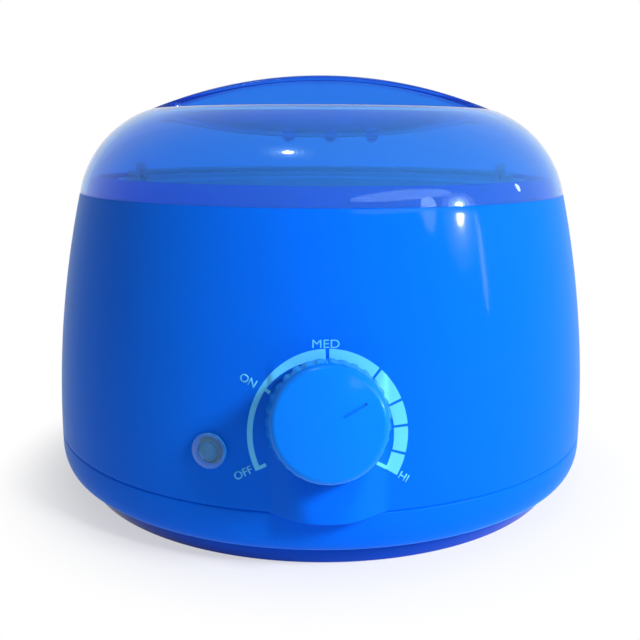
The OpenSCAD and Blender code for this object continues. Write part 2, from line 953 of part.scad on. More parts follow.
module earth_tag() {
    color([0.80, 0.66, 0.30])
        translate([0, stud_y, well_bottom - tag_t])
            difference() {
                union() {
                    cylinder(r = tag_r, h = tag_t);
                    translate([-tag_w / 2, 0, 0])
                        cube([tag_w, tag_end - stud_y, tag_t]);
                }
                translate([0, 0, -past])
                    cylinder(r = stud_size + pilot_fit, h = tag_t + 2 * past);
            }
}

// From the block's middle pole to the earth tag
module earth_lead() {
    color([0.25, 0.60, 0.20])
        wire([
            [0, block_front - wire_end, hole_z], [0, block_front - 3, hole_z + 1],
            [0, tag_end - 3, rise_z - 1], [0, tag_end - 2, well_bottom - tag_t - wire_end]
        ]);
}

// From the block's live pole to the thermal fuse
module supply_lead() {
    color(wire_red)
        wire([
            [pole_x[0], block_front - wire_end, hole_z], [pole_x[0], block_front - 5, hole_z],
            [-14, fuse_y + 10, rise_z], [-15, fuse_y + 1, under_z - 1],
            [-12, fuse_y, under_z], [-fuse_len / 2 - wire_end, fuse_y, under_z]
        ]);
}

// Lower end of a thermostat tab, with the wire just clear of it
function tab_end(x) =
    let (low = stat_size[1] / 2 + tab_size[1] + wire_end, deep = tab_depth - tab_size[2] / 2)
    [x, -panel_y - low * sin(panel_tilt) + deep * cos(panel_tilt),
        knob_z - low * cos(panel_tilt) - deep * sin(panel_tilt)];

// From the fuse round the right of the base to the thermostat
module thermostat_lead() {
    end = tab_end(tab_x);
    color(wire_red)
        wire([
            [fuse_len / 2 + wire_end, fuse_y, under_z], [12, fuse_y, under_z],
            [18, fuse_y, under_z - 3], [44, 34, loom_z + 1], [56, 4, loom_z], [46, -38, loom_z],
            [22, end[1] + 14, loom_z], [9, end[1] + 2, loom_z + 3], end + [0, -0.5, -3], end
        ]);
}

// Place just under the outer end of a heating band's post
function post_end_at(side) =
    around(post_end - 1.5, 180 + side * post_az, post_z - post_r - wire_end);

// From the thermostat round the left of the base to the heating band
module heater_lead() {
    start = tab_end(-tab_x);
    end = post_end_at(1);
    color(wire_black)
        wire([
            start, start + [0, -0.5, -3], [-9, start[1] + 2, loom_z + 3],
            [-22, start[1] + 14, loom_z], [-46, -38, loom_z], [-56, 4, loom_z],
            [-52, 40, loom_z], [end[0] - 6, end[1] + 2, loom_z + 4],
            [end[0], end[1] + 0.5, loom_z + 10], end + [0, 0, -3], end
        ]);
}

// From the block's neutral pole to the heating band
module neutral_lead() {
    end = post_end_at(-1);
    color([0.85, 0.85, 0.88])
        wire([
            [pole_x[2], block_front - wire_end, hole_z], [pole_x[2], block_front - 4, hole_z],
            [20, block_front - 6, hole_z + 1], [end[0], end[1] + 0.5, loom_z + 12],
            end + [0, 0, -3], end
        ]);
}

// Two thin wires of the lamp: one to the thermostat's tab, one back to the neutral pole
module lamp_leads() {
    clear = lamp_lead_r + wire_end;
    from_resistor = around(side_r(lamp_z) - resistor_z - clear, lamp_az, lamp_z - 0.4);
    beside = around(3, lamp_az - 90, -1);
    from_lamp = around(side_r(lamp_z) - lamp_back - clear, lamp_az, lamp_z) + beside;
    tab = tab_end(-tab_x) + [-1.9, 0, -0.3];
    pole = [pole_x[2], block_front - wire_end, low_z];
    color(wire_black) {
        wire([
            from_resistor, from_resistor + [0.5, 0, -5], [-19, tab[1] + 6, loom_z + 8],
            tab + [-0.5, -0.4, -3], tab
        ], lamp_lead_r);
        wire([
            from_lamp, from_lamp + [-1, 0, -6], [-36, -58, low_z], [-62, -6, low_z],
            [-56, 42, low_z], [-20, 50, low_z], [4, block_front - 8, low_z],
            pole + [0, -3, 0], pole
        ], lamp_lead_r);
    }
}

// Drawn pot with a flat flange and a rolled bead
module wax_pot() {
    color(metal_grey)
        rotate_extrude() {
            polygon(cup_points(pot_r, pot_wall, pot_bottom, deck_z + flange_t, corner_r));
            translate([pot_r - bite, deck_z])
                square([bead_at - pot_r + bite, flange_t]);
            translate([bead_at, bead_z])
                circle(r = bead_r, $fn = 32);
        }
}

// Angle brackets spot-welded on the flange, with the bail's pivot holes
module pot_ears() {
    color(steel_grey)
        for (side = [0, 180]) {
            rotate([0, 0, side])
                difference() {
                    union() {
                        translate([ear_x - ear_t / 2, -ear_w / 2, deck_z + flange_t])
                            cube([ear_t, ear_w, ear_top - deck_z - flange_t]);
                        translate([ear_x - ear_t / 2, -ear_w / 2, deck_z + flange_t])
                            cube([ear_foot, ear_w, ear_foot_t]);
                    }
                    translate([ear_x - 2 * past, 0, pivot_z])
                        rotate([0, 90, 0])
                            cylinder(r = pivot_r + pivot_play, h = 4 * past);
                }
        }
}

// Wire bail, laid back on the pot: half a ring with its ends turned in through the ears
module bail() {
    head_x = ear_x - ear_t / 2 - bail_head_gap - bail_head_t;
    color(steel_grey)
        translate([0, 0, pivot_z]) {
            rotate_extrude(angle = 180)
                translate([bail_r, 0])
                    circle(r = bail_wire_r, $fn = 32);
            for (side = [0, 180]) {
                rotate([0, 0, side])
                    rotate([0, 90, 0])
                        translate([0, 0, head_x]) {
                            cylinder(r = pivot_r, h = bail_r + 1 - head_x);
                            cylinder(r = bail_head_r, h = bail_head_t);
                        }
            }
        }
}

// Outline of the dome and its shoulder, drawn in by an inset and filled to the axis
function dome_points(inset) =
    let (
        r = shoulder_curve - inset,
        low = asin((ledge_z - shoulder_centre[1]) / r),
        foot = shoulder_centre[0] + r * cos(low),
        foot_z = ledge_z - (inset > 0 ? past : 0)
    )
    concat(
        [[0, foot_z]],
        inset > 0 ? [[foot, foot_z]] : [],
        arc_points(shoulder_centre, r, low, dome_angle, steps),
        arc_points(dome_centre, dome_curve - inset, dome_angle, 90, steps));

module dome(inset = 0) {
    rotate_extrude()
        polygon(dome_points(inset));
}

// Both finger recesses: a sloped bowl with the grip left standing across it
module recesses(grow = 0) {
    floor_edge = recess_r - recess_slope;
    rise = dome_centre[1] + sqrt(pow(dome_curve, 2) - pow(recess_r, 2)) - recess_floor;
    slope_angle = atan2(rise, recess_slope);
    lean = grow / sin(slope_angle);
    drop = grow / tan(slope_angle);
    over = 20;
    difference() {
        rotate_extrude()
            polygon([
                [0, recess_floor - grow],
                [floor_edge + lean - drop, recess_floor - grow],
                [floor_edge + lean + over / tan(slope_angle), recess_floor + over],
                [0, recess_floor + over]
            ]);
        rotate([90, 0, 90])
            linear_extrude(3 * body_r, center = true)
                polygon([
                    [-grip_foot + grow, recess_floor - 2 * grow - past],
                    [grip_foot - grow, recess_floor - 2 * grow - past],
                    [grip_top - grow, lid_top + past],
                    [-grip_top + grow, lid_top + past]
                ]);
    }
}

// One-piece lid: even wall all over, hollow under the grip, with small pips on the recess
module lid() {
    color(lid_blue) {
        difference() {
            dome();
            recesses();
            difference() {
                dome(lid_wall);
                recesses(lid_wall);
            }
        }
        for (x = pip_x) {
            translate([x, pip_y, recess_floor - lid_wall - pip_h])
                cylinder(r = pip_r, h = pip_h + bite);
        }
    }
}

outer_shell();
base_cover();
foot_ring();
base_screws();
heating_well();
well_screws();
heater_band();
heater_clamp();
clamp_screw();
insulation_wrap();
thermostat_body();
thermostat_bracket();
thermostat_screws();
thermostat_shaft();
sensor_bulb();
bulb_clip();
knob();
knob_spring();
lamp_lens();
lamp_retainer();
neon_lamp();
lamp_resistor();
thermal_fuse();
fuse_clip();
terminal_block();
terminal_screws();
cord_gland();
gland_nut();
earth_stud();
earth_tag();
earth_lead();
supply_lead();
thermostat_lead();
heater_lead();
neutral_lead();
lamp_leads();
wax_pot();
pot_ears();
bail();
lid();
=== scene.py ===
import json
import math

import bpy
from mathutils import Matrix, Vector


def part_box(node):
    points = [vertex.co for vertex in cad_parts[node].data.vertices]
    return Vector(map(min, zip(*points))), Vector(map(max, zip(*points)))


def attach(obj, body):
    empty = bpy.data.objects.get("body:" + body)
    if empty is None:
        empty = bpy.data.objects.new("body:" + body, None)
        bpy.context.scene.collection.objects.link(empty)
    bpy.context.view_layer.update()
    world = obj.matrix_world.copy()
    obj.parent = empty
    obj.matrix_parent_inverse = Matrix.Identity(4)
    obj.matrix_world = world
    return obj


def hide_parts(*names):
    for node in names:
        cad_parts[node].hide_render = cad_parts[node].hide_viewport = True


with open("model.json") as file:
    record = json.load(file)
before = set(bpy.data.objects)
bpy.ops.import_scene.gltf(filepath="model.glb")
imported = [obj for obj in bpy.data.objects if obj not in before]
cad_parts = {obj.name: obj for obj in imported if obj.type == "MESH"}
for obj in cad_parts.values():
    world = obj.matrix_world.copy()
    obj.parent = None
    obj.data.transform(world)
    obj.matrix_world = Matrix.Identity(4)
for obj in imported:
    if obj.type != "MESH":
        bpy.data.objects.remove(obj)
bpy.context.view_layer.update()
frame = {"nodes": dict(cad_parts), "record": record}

# Foot ring
# The flared ring that the warmer stands on, in moulded plastic. Its colour is painted darker than the
# casing's blue, a painted shade for the shadow under the base's overhang.
# It is pressed onto the base, and its flat lower face carries the whole weight.
MM = 0.001
foot_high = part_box("foot_ring")[1]
foot_top = foot_high.z / MM
foot_face_r = 83.4
foot_face_w = 2.9
foot_inner_r = foot_face_r - foot_face_w
foot_outer_r = foot_high.x / MM
# painted shade: darker than the casing's blue, for the shadow under the base's overhang
foot_shade_blue = (0.0, 0.06, 0.50)
blue_gloss = (0.0, 0.62, 1.0)


def rounded(corners, steps=5):
    """Closed outline through (radius, height, corner radius) points, in millimetres."""
    outline = []
    for before, here, after in zip(corners[-1:] + corners[:-1], corners, corners[1:] + corners[:1]):
        corner, size = Vector(here[:2]), here[2]
        if size == 0:
            outline.append(tuple(corner))
            continue
        back = (Vector(before[:2]) - corner).normalized()
        on = (Vector(after[:2]) - corner).normalized()
        half = back.angle(on) / 2
        centre = corner + (back + on).normalized() * size / math.sin(half)
        start = corner + back * size / math.tan(half) - centre
        end = corner + on * size / math.tan(half) - centre
        first = math.atan2(start.y, start.x)
        sweep = (math.atan2(end.y, end.x) - first + math.pi) % math.tau - math.pi
        for i in range(steps + 1):
            angle = first + sweep * i / steps
            outline.append((centre.x + size * math.cos(angle), centre.y + size * math.sin(angle)))
    return outline


def turned(name, outline, arcs=((360, 192),)):
    """A closed outline of (radius, height) points, drawn by extrusion and spun round the Z axis
    through arcs of so many degrees and steps."""
    bpy.ops.object.select_all(action="DESELECT")
    radius, height = outline[0]
    bpy.ops.mesh.primitive_plane_add(size=MM, location=(radius * MM, 0, height * MM))
    bpy.ops.object.transform_apply(location=True)
    piece = bpy.context.object
    piece.name = piece.data.name = name
    bpy.ops.object.mode_set(mode="EDIT")
    bpy.ops.mesh.select_all(action="SELECT")
    bpy.ops.mesh.merge(type="CENTER")
    for (r0, z0), (r1, z1) in zip(outline, outline[1:] + outline[:1]):
        step = ((r1 - r0) * MM, 0, (z1 - z0) * MM)
        bpy.ops.mesh.extrude_region_move(TRANSFORM_OT_translate={"value": step})
    bpy.ops.mesh.select_all(action="SELECT")
    for angle, steps in arcs:
        bpy.ops.mesh.spin(steps=steps, angle=math.radians(angle), center=(0, 0, 0), axis=(0, 0, -1))
    bpy.ops.mesh.select_all(action="SELECT")
    bpy.ops.mesh.remove_doubles(threshold=0.004 * MM)
    bpy.ops.mesh.dissolve_degenerate(threshold=0.001 * MM)
    bpy.ops.mesh.normals_make_consistent(inside=False)
    bpy.ops.object.mode_set(mode="OBJECT")
    return piece


def choose(piece):
    """Makes a piece the only selected one, and the active one."""
    bpy.ops.object.select_all(action="DESELECT")
    piece.select_set(True)
    bpy.context.view_layer.objects.active = piece


def smooth(piece, degrees=32):
    """Shades a piece smooth, apart from its edges that are sharper than an angle."""
    choose(piece)
    bpy.ops.object.shade_smooth_by_angle(angle=math.radians(degrees))


def dress(piece, material, body, stands_for=()):
    """Gives a finished piece its material, its body and the CAD nodes that it stands for."""
    piece.data.materials.clear()
    piece.data.materials.append(material)
    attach(piece, body)
    if stands_for:
        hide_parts(*stands_for)


def new_skin(name, inputs):
    """A node group with named inputs and their values. It feeds colour, roughness and bump."""
    group = bpy.data.node_groups.new(name, "ShaderNodeTree")
    kinds = {tuple: "NodeSocketColor", float: "NodeSocketFloat"}
    for label, value in inputs.items():
        socket = group.interface.new_socket(label, in_out="INPUT", socket_type=kinds[type(value)])
        socket.default_value = (*value, 1) if isinstance(value, tuple) else value
    for label, kind in (("Colour", tuple), ("Roughness", float), ("Height", float)):
        group.interface.new_socket(label, in_out="OUTPUT", socket_type=kinds[kind])
    ends = [group.nodes.new(kind) for kind in ("NodeGroupInput", "NodeGroupOutput")]
    return group, ends[0].outputs, ends[1].inputs


def feed(tree, socket, value):
    """Links an input to another node's output, or sets it to a number."""
    if isinstance(value, bpy.types.NodeSocket):
        tree.links.new(value, socket)
    else:
        socket.default_value = value


def math_node(tree, operation, *values):
    """A Math node whose inputs are sockets or numbers."""
    node = tree.nodes.new("ShaderNodeMath")
    node.operation = operation
    for socket, value in zip(node.inputs, values):
        feed(tree, socket, value)
    return node.outputs[0]


def noise_node(tree, scale, detail, vector=None, stretch=None):
    """Noise over Object coordinates, over a stretched copy of them, or over another vector."""
    if vector is None:
        vector = tree.nodes.new("ShaderNodeTexCoord").outputs["Object"]
    if stretch:
        mapping = tree.nodes.new("ShaderNodeMapping")
        mapping.inputs["Scale"].default_value = stretch
        tree.links.new(vector, mapping.inputs["Vector"])
        vector = mapping.outputs["Vector"]
    noise = tree.nodes.new("ShaderNodeTexNoise")
    feed(tree, noise.inputs["Scale"], scale)
    noise.inputs["Detail"].default_value = detail
    tree.links.new(vector, noise.inputs["Vector"])
    return noise.outputs["Fac"]


def toned(tree, colour, value):
    """A colour made lighter or darker by a factor."""
    tone = tree.nodes.new("ShaderNodeHueSaturation")
    tree.links.new(colour, tone.inputs["Color"])
    tree.links.new(value, tone.inputs["Value"])
    return tone.outputs["Color"]


# Skin of moulded plastic: faint mottling of the dye, hazy patches, orange peel and fine scuffs
moulded_skin, skin_in, skin_out = new_skin(
    "moulded_skin",
    {"Colour": (0.5, 0.5, 0.5), "Mottle": 0.05, "Gloss": 0.1, "Haze": 0.05, "Scuffs": 0.5},
)
scuff_level = 0.70
scuff_rough = 1.4
scuff_height = -1.5
haze_level = 0.45
dye = math_node(moulded_skin, "SUBTRACT", noise_node(moulded_skin, 28, 3), 0.5)
dye = math_node(moulded_skin, "MULTIPLY_ADD", dye, skin_in["Mottle"], 1.0)
moulded_skin.links.new(toned(moulded_skin, skin_in["Colour"], dye), skin_out["Colour"])
scratch_a = noise_node(moulded_skin, 90, 2, stretch=(14, 1, 0.7))
scratch_b = noise_node(moulded_skin, 80, 2, stretch=(0.8, 2, 12))
scuff = math_node(moulded_skin, "MAXIMUM", scratch_a, scratch_b)
scuff = math_node(moulded_skin, "SUBTRACT", scuff, scuff_level)
scuff = math_node(moulded_skin, "MAXIMUM", scuff, 0.0)
scuff = math_node(moulded_skin, "MULTIPLY", scuff, skin_in["Scuffs"])
haze = math_node(moulded_skin, "SUBTRACT", noise_node(moulded_skin, 60, 5), haze_level)
haze = math_node(moulded_skin, "MULTIPLY_ADD", haze, skin_in["Haze"], skin_in["Gloss"])
haze = math_node(moulded_skin, "MULTIPLY_ADD", scuff, scuff_rough, haze)
moulded_skin.links.new(haze, skin_out["Roughness"])
peel = noise_node(moulded_skin, 420, 2)
peel = math_node(moulded_skin, "MULTIPLY_ADD", scuff, scuff_height, peel)
moulded_skin.links.new(peel, skin_out["Height"])


def new_material(name, group, values, **shader):
    """A material whose Principled shader takes colour, roughness and bump from a node group."""
    material = bpy.data.materials.new(name)
    material.use_nodes = True
    tree = material.node_tree
    skin = tree.nodes.new("ShaderNodeGroup")
    skin.node_tree = group
    for label, value in values.items():
        skin.inputs[label].default_value = (*value, 1) if isinstance(value, tuple) else value
    bsdf = tree.nodes["Principled BSDF"]
    bump = tree.nodes.new("ShaderNodeBump")
    bump.inputs["Strength"].default_value = shader.pop("bump", 0.12)
    bump.inputs["Distance"].default_value = shader.pop("relief", 0.05) * MM
    tree.links.new(skin.outputs["Colour"], bsdf.inputs["Base Color"])
    tree.links.new(skin.outputs["Roughness"], bsdf.inputs["Roughness"])
    tree.links.new(skin.outputs["Height"], bump.inputs["Height"])
    tree.links.new(bump.outputs["Normal"], bsdf.inputs["Normal"])
    for label, value in shader.items():
        value = (*value, 1) if isinstance(value, tuple) else value
        bsdf.inputs[label.replace("_", " ")].default_value = value
    return material


foot_plastic = new_material(
    "foot_plastic",
    moulded_skin,
    {"Colour": foot_shade_blue, "Mottle": 0.12, "Gloss": 0.2, "Haze": 0.1, "Scuffs": 1.2},
    IOR=1.49,
    Specular_IOR_Level=0.03,
    Specular_Tint=blue_gloss,
)
foot = turned(
    "foot",
    rounded([
        (foot_inner_r, 0, 0.5), (foot_face_r, 0, 0.9),
        (foot_outer_r, foot_top, 0.25), (foot_inner_r, foot_top, 0.25),
    ]),
)
smooth(foot)
dress(foot, foot_plastic, "housing", ["foot_ring"])

# Base
# The shallow tray that closes the casing from below, moulded in the casing's blue. It has
# a rounded lower edge, air slots in its floor and a tongue that slips inside the casing.
body_r = 91.8
wide_z = 15
side_curve = 346
seam_z = 18.7
seam_gap = 0.1
wall = 2.4
base_low, base_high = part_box("base_cover")
floor_z = base_low.z / MM
floor_top = floor_z + wall
step_r = foot_inner_r - 0.3
base_seat_r = foot_outer_r + 0.5
tongue_r = body_r - 1.6
tongue_top = base_high.z / MM
base_in_r = body_r - 2.7
slot_count = 12
slot_width = 2.6
slot_ends = (18, 48)
screw_circle_r = step_r - 7
screw_hole_r = 1.9
screw_azimuths = (45, 135, 225, 315)
casing_blue = (0.0, 0.13, 0.84)
sheen_blue = (0.0, 0.6, 1.0)


def side_radius(z, inset=0.0):
    """Radius of the casing's upright curve at a height, or of a surface inside it."""
    return body_r - side_curve + math.sqrt((side_curve - inset) ** 2 - (z - wide_z) ** 2)


def around(radius, azimuth, z=0.0):
    """A point at an azimuth from the front, in metres."""
    angle = math.radians(azimuth)
    return Vector((radius * math.sin(angle), -radius * math.cos(angle), z)) * MM


def cut(piece, cutters, operation="DIFFERENCE"):
    """Applies a boolean with each cutter in turn, and cleans the cut faces."""
    for cutter in cutters:
        choose(piece)
        boolean = piece.modifiers.new("cut", "BOOLEAN")
        boolean.operation = operation
        boolean.solver = "EXACT"
        boolean.object = cutter
        bpy.ops.object.modifier_apply(modifier=boolean.name)
        bpy.data.objects.remove(cutter)
    bpy.ops.object.mode_set(mode="EDIT")
    bpy.ops.mesh.select_all(action="SELECT")
    bpy.ops.mesh.quads_convert_to_tris(quad_method="BEAUTY", ngon_method="BEAUTY")
    bpy.ops.mesh.dissolve_degenerate(threshold=0.0005 * MM)
    bpy.ops.object.mode_set(mode="OBJECT")


def drill(radius, length, matrix):
    """A round cutter along a frame's Z axis, centred on its origin."""
    bpy.ops.mesh.primitive_cylinder_add(vertices=48, radius=radius * MM, depth=length * MM)
    cutter = bpy.context.object
    cutter.matrix_world = matrix
    return cutter


def joined(pieces):
    """Joins pieces into the first one, whose name they take."""
    bpy.ops.object.select_all(action="DESELECT")
    for piece in pieces:
        piece.select_set(True)
    bpy.context.view_layer.objects.active = pieces[0]
    bpy.ops.object.join()
    return pieces[0]


def slot_cutter(length, width, depth, matrix):
    """A round-ended bar: a cylinder whose far half is drawn out along its X axis."""
    bpy.ops.object.select_all(action="DESELECT")
    bpy.ops.mesh.primitive_cylinder_add(vertices=32, radius=width / 2 * MM, depth=depth * MM)
    cutter = bpy.context.object
    for vertex in cutter.data.vertices:
        if vertex.co.x > 0.001 * MM:
            vertex.co.x += (length - width) * MM
    cutter.matrix_world = matrix
    return cutter


edge_steps = 14
base_edge = []
for i in range(edge_steps + 1):
    angle = math.radians(90 * i / edge_steps - 90)
    base_edge.append((
        base_seat_r + (body_r - base_seat_r) * math.cos(angle),
        wide_z + (wide_z - foot_top) * math.sin(angle), 0,
    ))
base_top = seam_z - seam_gap
step_top = foot_top + wall
cutter_length = 4 * wall
base = turned(
    "base",
    rounded(
        [(0, floor_z, 0), (step_r, floor_z, 0.3), (step_r, foot_top, 0.3)]
        + base_edge
        + [
            (side_radius(base_top), base_top, 0.7), (tongue_r, base_top, 0.2),
            (tongue_r, tongue_top, 0.3), (base_in_r, tongue_top, 0.3),
            (base_in_r, step_top + wall, 0.8), (base_seat_r - 0.6, step_top, 0.6),
            (step_r - 1, step_top, 0.6), (step_r - 3, floor_top, 0.6), (0, floor_top, 0),
        ]
    ),
)
slot_cutters = []
for i in range(slot_count):
    turn = Matrix.Rotation(math.tau * (i + 0.5) / slot_count, 4, "Z")
    shift = Matrix.Translation((slot_ends[0] * MM, 0, floor_z * MM))
    slot_cutters.append(slot_cutter(
        slot_ends[1] - slot_ends[0] + slot_width, slot_width, cutter_length, turn @ shift
    ))
screw_cutters = [
    drill(screw_hole_r, cutter_length, Matrix.Translation(around(screw_circle_r, azimuth, floor_z)))
    for azimuth in screw_azimuths
]
cut(base, [joined(slot_cutters + screw_cutters)])
smooth(base)
casing_plastic = new_material(
    "casing_plastic",
    moulded_skin,
    {"Colour": casing_blue, "Mottle": 0.06, "Gloss": 0.3, "Haze": 0.06, "Scuffs": 0.6},
    IOR=1.49,
    Specular_IOR_Level=0.01,
    Specular_Tint=blue_gloss,
    Sheen_Weight=0.32,
    Sheen_Roughness=0.4,
    Sheen_Tint=sheen_blue,
    Coat_Weight=0.09,
    Coat_Roughness=0.07,
)
dress(base, casing_plastic, "housing", ["base_cover"])

# Base screws
# Four zinc-plated pan-head screws with cross recesses. They go up through the tray's floor
# into the casing's pillars.
screw_head_r = 3.2
screw_head_t = 2.0
screw_shank_r = 1.6
screw_length = 17
cross_width = 0.8
cross_length = 3.4
cross_depth = 1.2
screw_turn = 17

# Skin of metal: fine lines round the axis, and dull patches
metal_skin, metal_in, metal_out = new_skin(
    "metal_skin",
    {"Colour": (0.6, 0.6, 0.6), "Lines": 0.3, "Fineness": 3000.0, "Polish": 0.25, "Tarnish": 0.1},
)
place = metal_skin.nodes.new("ShaderNodeTexCoord").outputs["Object"]
parts = metal_skin.nodes.new("ShaderNodeSeparateXYZ")
metal_skin.links.new(place, parts.inputs[0])
flat = metal_skin.nodes.new("ShaderNodeCombineXYZ")
metal_skin.links.new(parts.outputs["X"], flat.inputs["X"])
metal_skin.links.new(parts.outputs["Y"], flat.inputs["Y"])
reach = metal_skin.nodes.new("ShaderNodeVectorMath")
reach.operation = "LENGTH"
metal_skin.links.new(flat.outputs[0], reach.inputs[0])
ring_place = metal_skin.nodes.new("ShaderNodeCombineXYZ")
metal_skin.links.new(reach.outputs["Value"], ring_place.inputs["X"])
metal_skin.links.new(parts.outputs["Z"], ring_place.inputs["Y"])
rings = noise_node(metal_skin, metal_in["Fineness"], 3, vector=ring_place.outputs[0])
patches = math_node(metal_skin, "SUBTRACT", noise_node(metal_skin, 90, 4), 0.5)
shade = math_node(metal_skin, "MULTIPLY_ADD", patches, metal_in["Tarnish"], 1.0)
metal_skin.links.new(toned(metal_skin, metal_in["Colour"], shade), metal_out["Colour"])
line_rough = math_node(metal_skin, "SUBTRACT", rings, 0.5)
line_rough = math_node(metal_skin, "MULTIPLY", line_rough, metal_in["Lines"])
dull = math_node(metal_skin, "MULTIPLY_ADD", patches, metal_in["Tarnish"], metal_in["Polish"])
metal_skin.links.new(math_node(metal_skin, "ADD", dull, line_rough), metal_out["Roughness"])
metal_skin.links.new(math_node(metal_skin, "MULTIPLY", rings, metal_in["Lines"]), metal_out["Height"])

steel = new_material(
    "zinc_steel",
    metal_skin,
    {"Colour": (0.62, 0.63, 0.65), "Lines": 0.12, "Fineness": 1600.0, "Polish": 0.26, "Tarnish": 0.16},
    Metallic=1.0,
)
screw = turned(
    "base_screw",
    rounded([
        (0, floor_z - screw_head_t, 0), (screw_head_r, floor_z - screw_head_t, 1.1),
        (screw_head_r, floor_z, 0.15), (screw_shank_r, floor_z, 0.1),
        (screw_shank_r, floor_z + screw_length, 0.4), (0, floor_z + screw_length, 0),
    ]),
    arcs=((360, 48),),
)
for turn in (0, 90):
    bar_turn = Matrix.Rotation(math.radians(turn), 4, "Z")
    bar_start = (-(cross_length - cross_width) / 2 * MM, 0, (floor_z - screw_head_t) * MM)
    bar_place = bar_turn @ Matrix.Translation(bar_start)
    cut(screw, [slot_cutter(cross_length, cross_width, 2 * cross_depth, bar_place)])
smooth(screw)
for i, azimuth in enumerate(screw_azimuths):
    base_screw = screw.copy()
    base_screw.data = screw.data.copy()
    base_screw.name = base_screw.data.name = f"base_screw_{i + 1}"
    bpy.context.scene.collection.objects.link(base_screw)
    driven = Matrix.Rotation(math.radians(screw_turn * i), 4, "Z")
    base_screw.data.transform(Matrix.Translation(around(screw_circle_r, azimuth)) @ driven)
    dress(base_screw, steel, "housing", ["base_screws"])
bpy.data.objects.remove(screw)

# Casing
# The one-piece glossy body. Its ledge and collar carry the lid, its deck hangs the pot,
# and a rounded chin stands out under the knob. It is injection moulded.
ledge_z = 98
collar_h = 5.2
collar_r = side_radius(ledge_z) - 2.3
collar_top_r = collar_r - 1.8
collar_in_r = collar_top_r - wall
deck_z = ledge_z + 1
deck_under = deck_z - 2.6
well_r = 63.5
deck_in_r = well_r + 0.8
lip_r = deck_in_r + 2.2
lip_z = deck_z - 10.4
lap_r = body_r - 1.3
lap_top = seam_z + 3.6
chin_r = 15.7
chin_out = 6.8
chin_top = 62
chin_blend = 5.0
chin_fade = 20
chin_crease = 1.0
chin_half_turn = 0.5
panel_tilt = math.radians(15)
knob_z = 44.6
chin_reach = body_r + chin_out
chin_y = chin_reach - chin_r
panel_y = chin_reach - (knob_z - seam_z) * math.tan(panel_tilt)
lamp_azimuth = -20
lamp_z = 34.4
gland_z = 31
shaft_hole_r = 4.3
lamp_hole_r = 3.7
gland_hole_r = 5.5
skin_reach = 0.6
panel_cut = 30
side_cut = 16


def on_side(azimuth, z):
    """Frame on the casing's side: +Z points out of the wall and +Y up it."""
    slope = math.asin((z - wide_z) / side_curve)
    turn = Matrix.Rotation(math.radians(azimuth), 4, "Z")
    shift = Matrix.Translation((0, -side_radius(z) * MM, z * MM))
    return turn @ shift @ Matrix.Rotation(math.pi / 2 - slope, 4, "X")


panel_shift = Matrix.Translation((0, -panel_y * MM, knob_z * MM))
panel = panel_shift @ Matrix.Rotation(math.pi / 2 - panel_tilt, 4, "X")


def blended(one, other, reach, sign=1):
    """The larger of two values, or with sign -1 the smaller, run smoothly into each other."""
    near = max(reach - abs(one - other), 0) / reach
    return sign * max(sign * one, sign * other) + sign * near * near * reach / 4


def chin_push(azimuth, z):
    """How far the chin stands out of the side at an azimuth in radians and a height."""
    side = side_radius(z)
    if abs(azimuth) > chin_half_turn or z >= chin_top:
        return 0.0
    off = abs(chin_y * math.sin(azimuth))
    inside = chin_r**2 - off**2
    column = chin_y * math.cos(azimuth) + (math.sqrt(inside) if inside > 0 else chin_r - off)
    slope = (chin_reach - (z - seam_z) * math.tan(panel_tilt)) / math.cos(azimuth)
    reach = chin_blend * min(1, (chin_top - z) / chin_fade)
    return blended(side, blended(column, slope, chin_crease, -1), reach) - side


low_rows = 26
high_rows = 16
casing_arcs = ((240, 150), (60, 84), (60, 36))
side_rows = [seam_z + (chin_top - seam_z) * i / low_rows for i in range(1, low_rows)]
side_rows += [chin_top + (ledge_z - chin_top) * i / high_rows for i in range(high_rows)]
inner_rows = [z for z in side_rows if lap_top + 1 < z < deck_under - 2]
casing = turned(
    "casing",
    rounded(
        [(side_radius(seam_z), seam_z, 0.35)]
        + [(side_radius(z), z, 0) for z in side_rows]
        + [
            (side_radius(ledge_z), ledge_z, 0.35), (collar_r, ledge_z, 0.4),
            (collar_top_r, ledge_z + collar_h, 0.9), (collar_in_r, ledge_z + collar_h, 0.9),
            (collar_in_r, deck_z, 0.8), (deck_in_r, deck_z, 0.7), (deck_in_r, lip_z, 0.3),
            (lip_r, lip_z, 0.3), (lip_r, deck_under, 0.5),
            (side_radius(deck_under, wall), deck_under, 1.2),
        ]
        + [(side_radius(z, wall), z, 0) for z in reversed(inner_rows)]
        + [(side_radius(lap_top, wall), lap_top, 0.2), (lap_r, lap_top, 0.2), (lap_r, seam_z, 0.2)]
    ),
    arcs=casing_arcs,
)
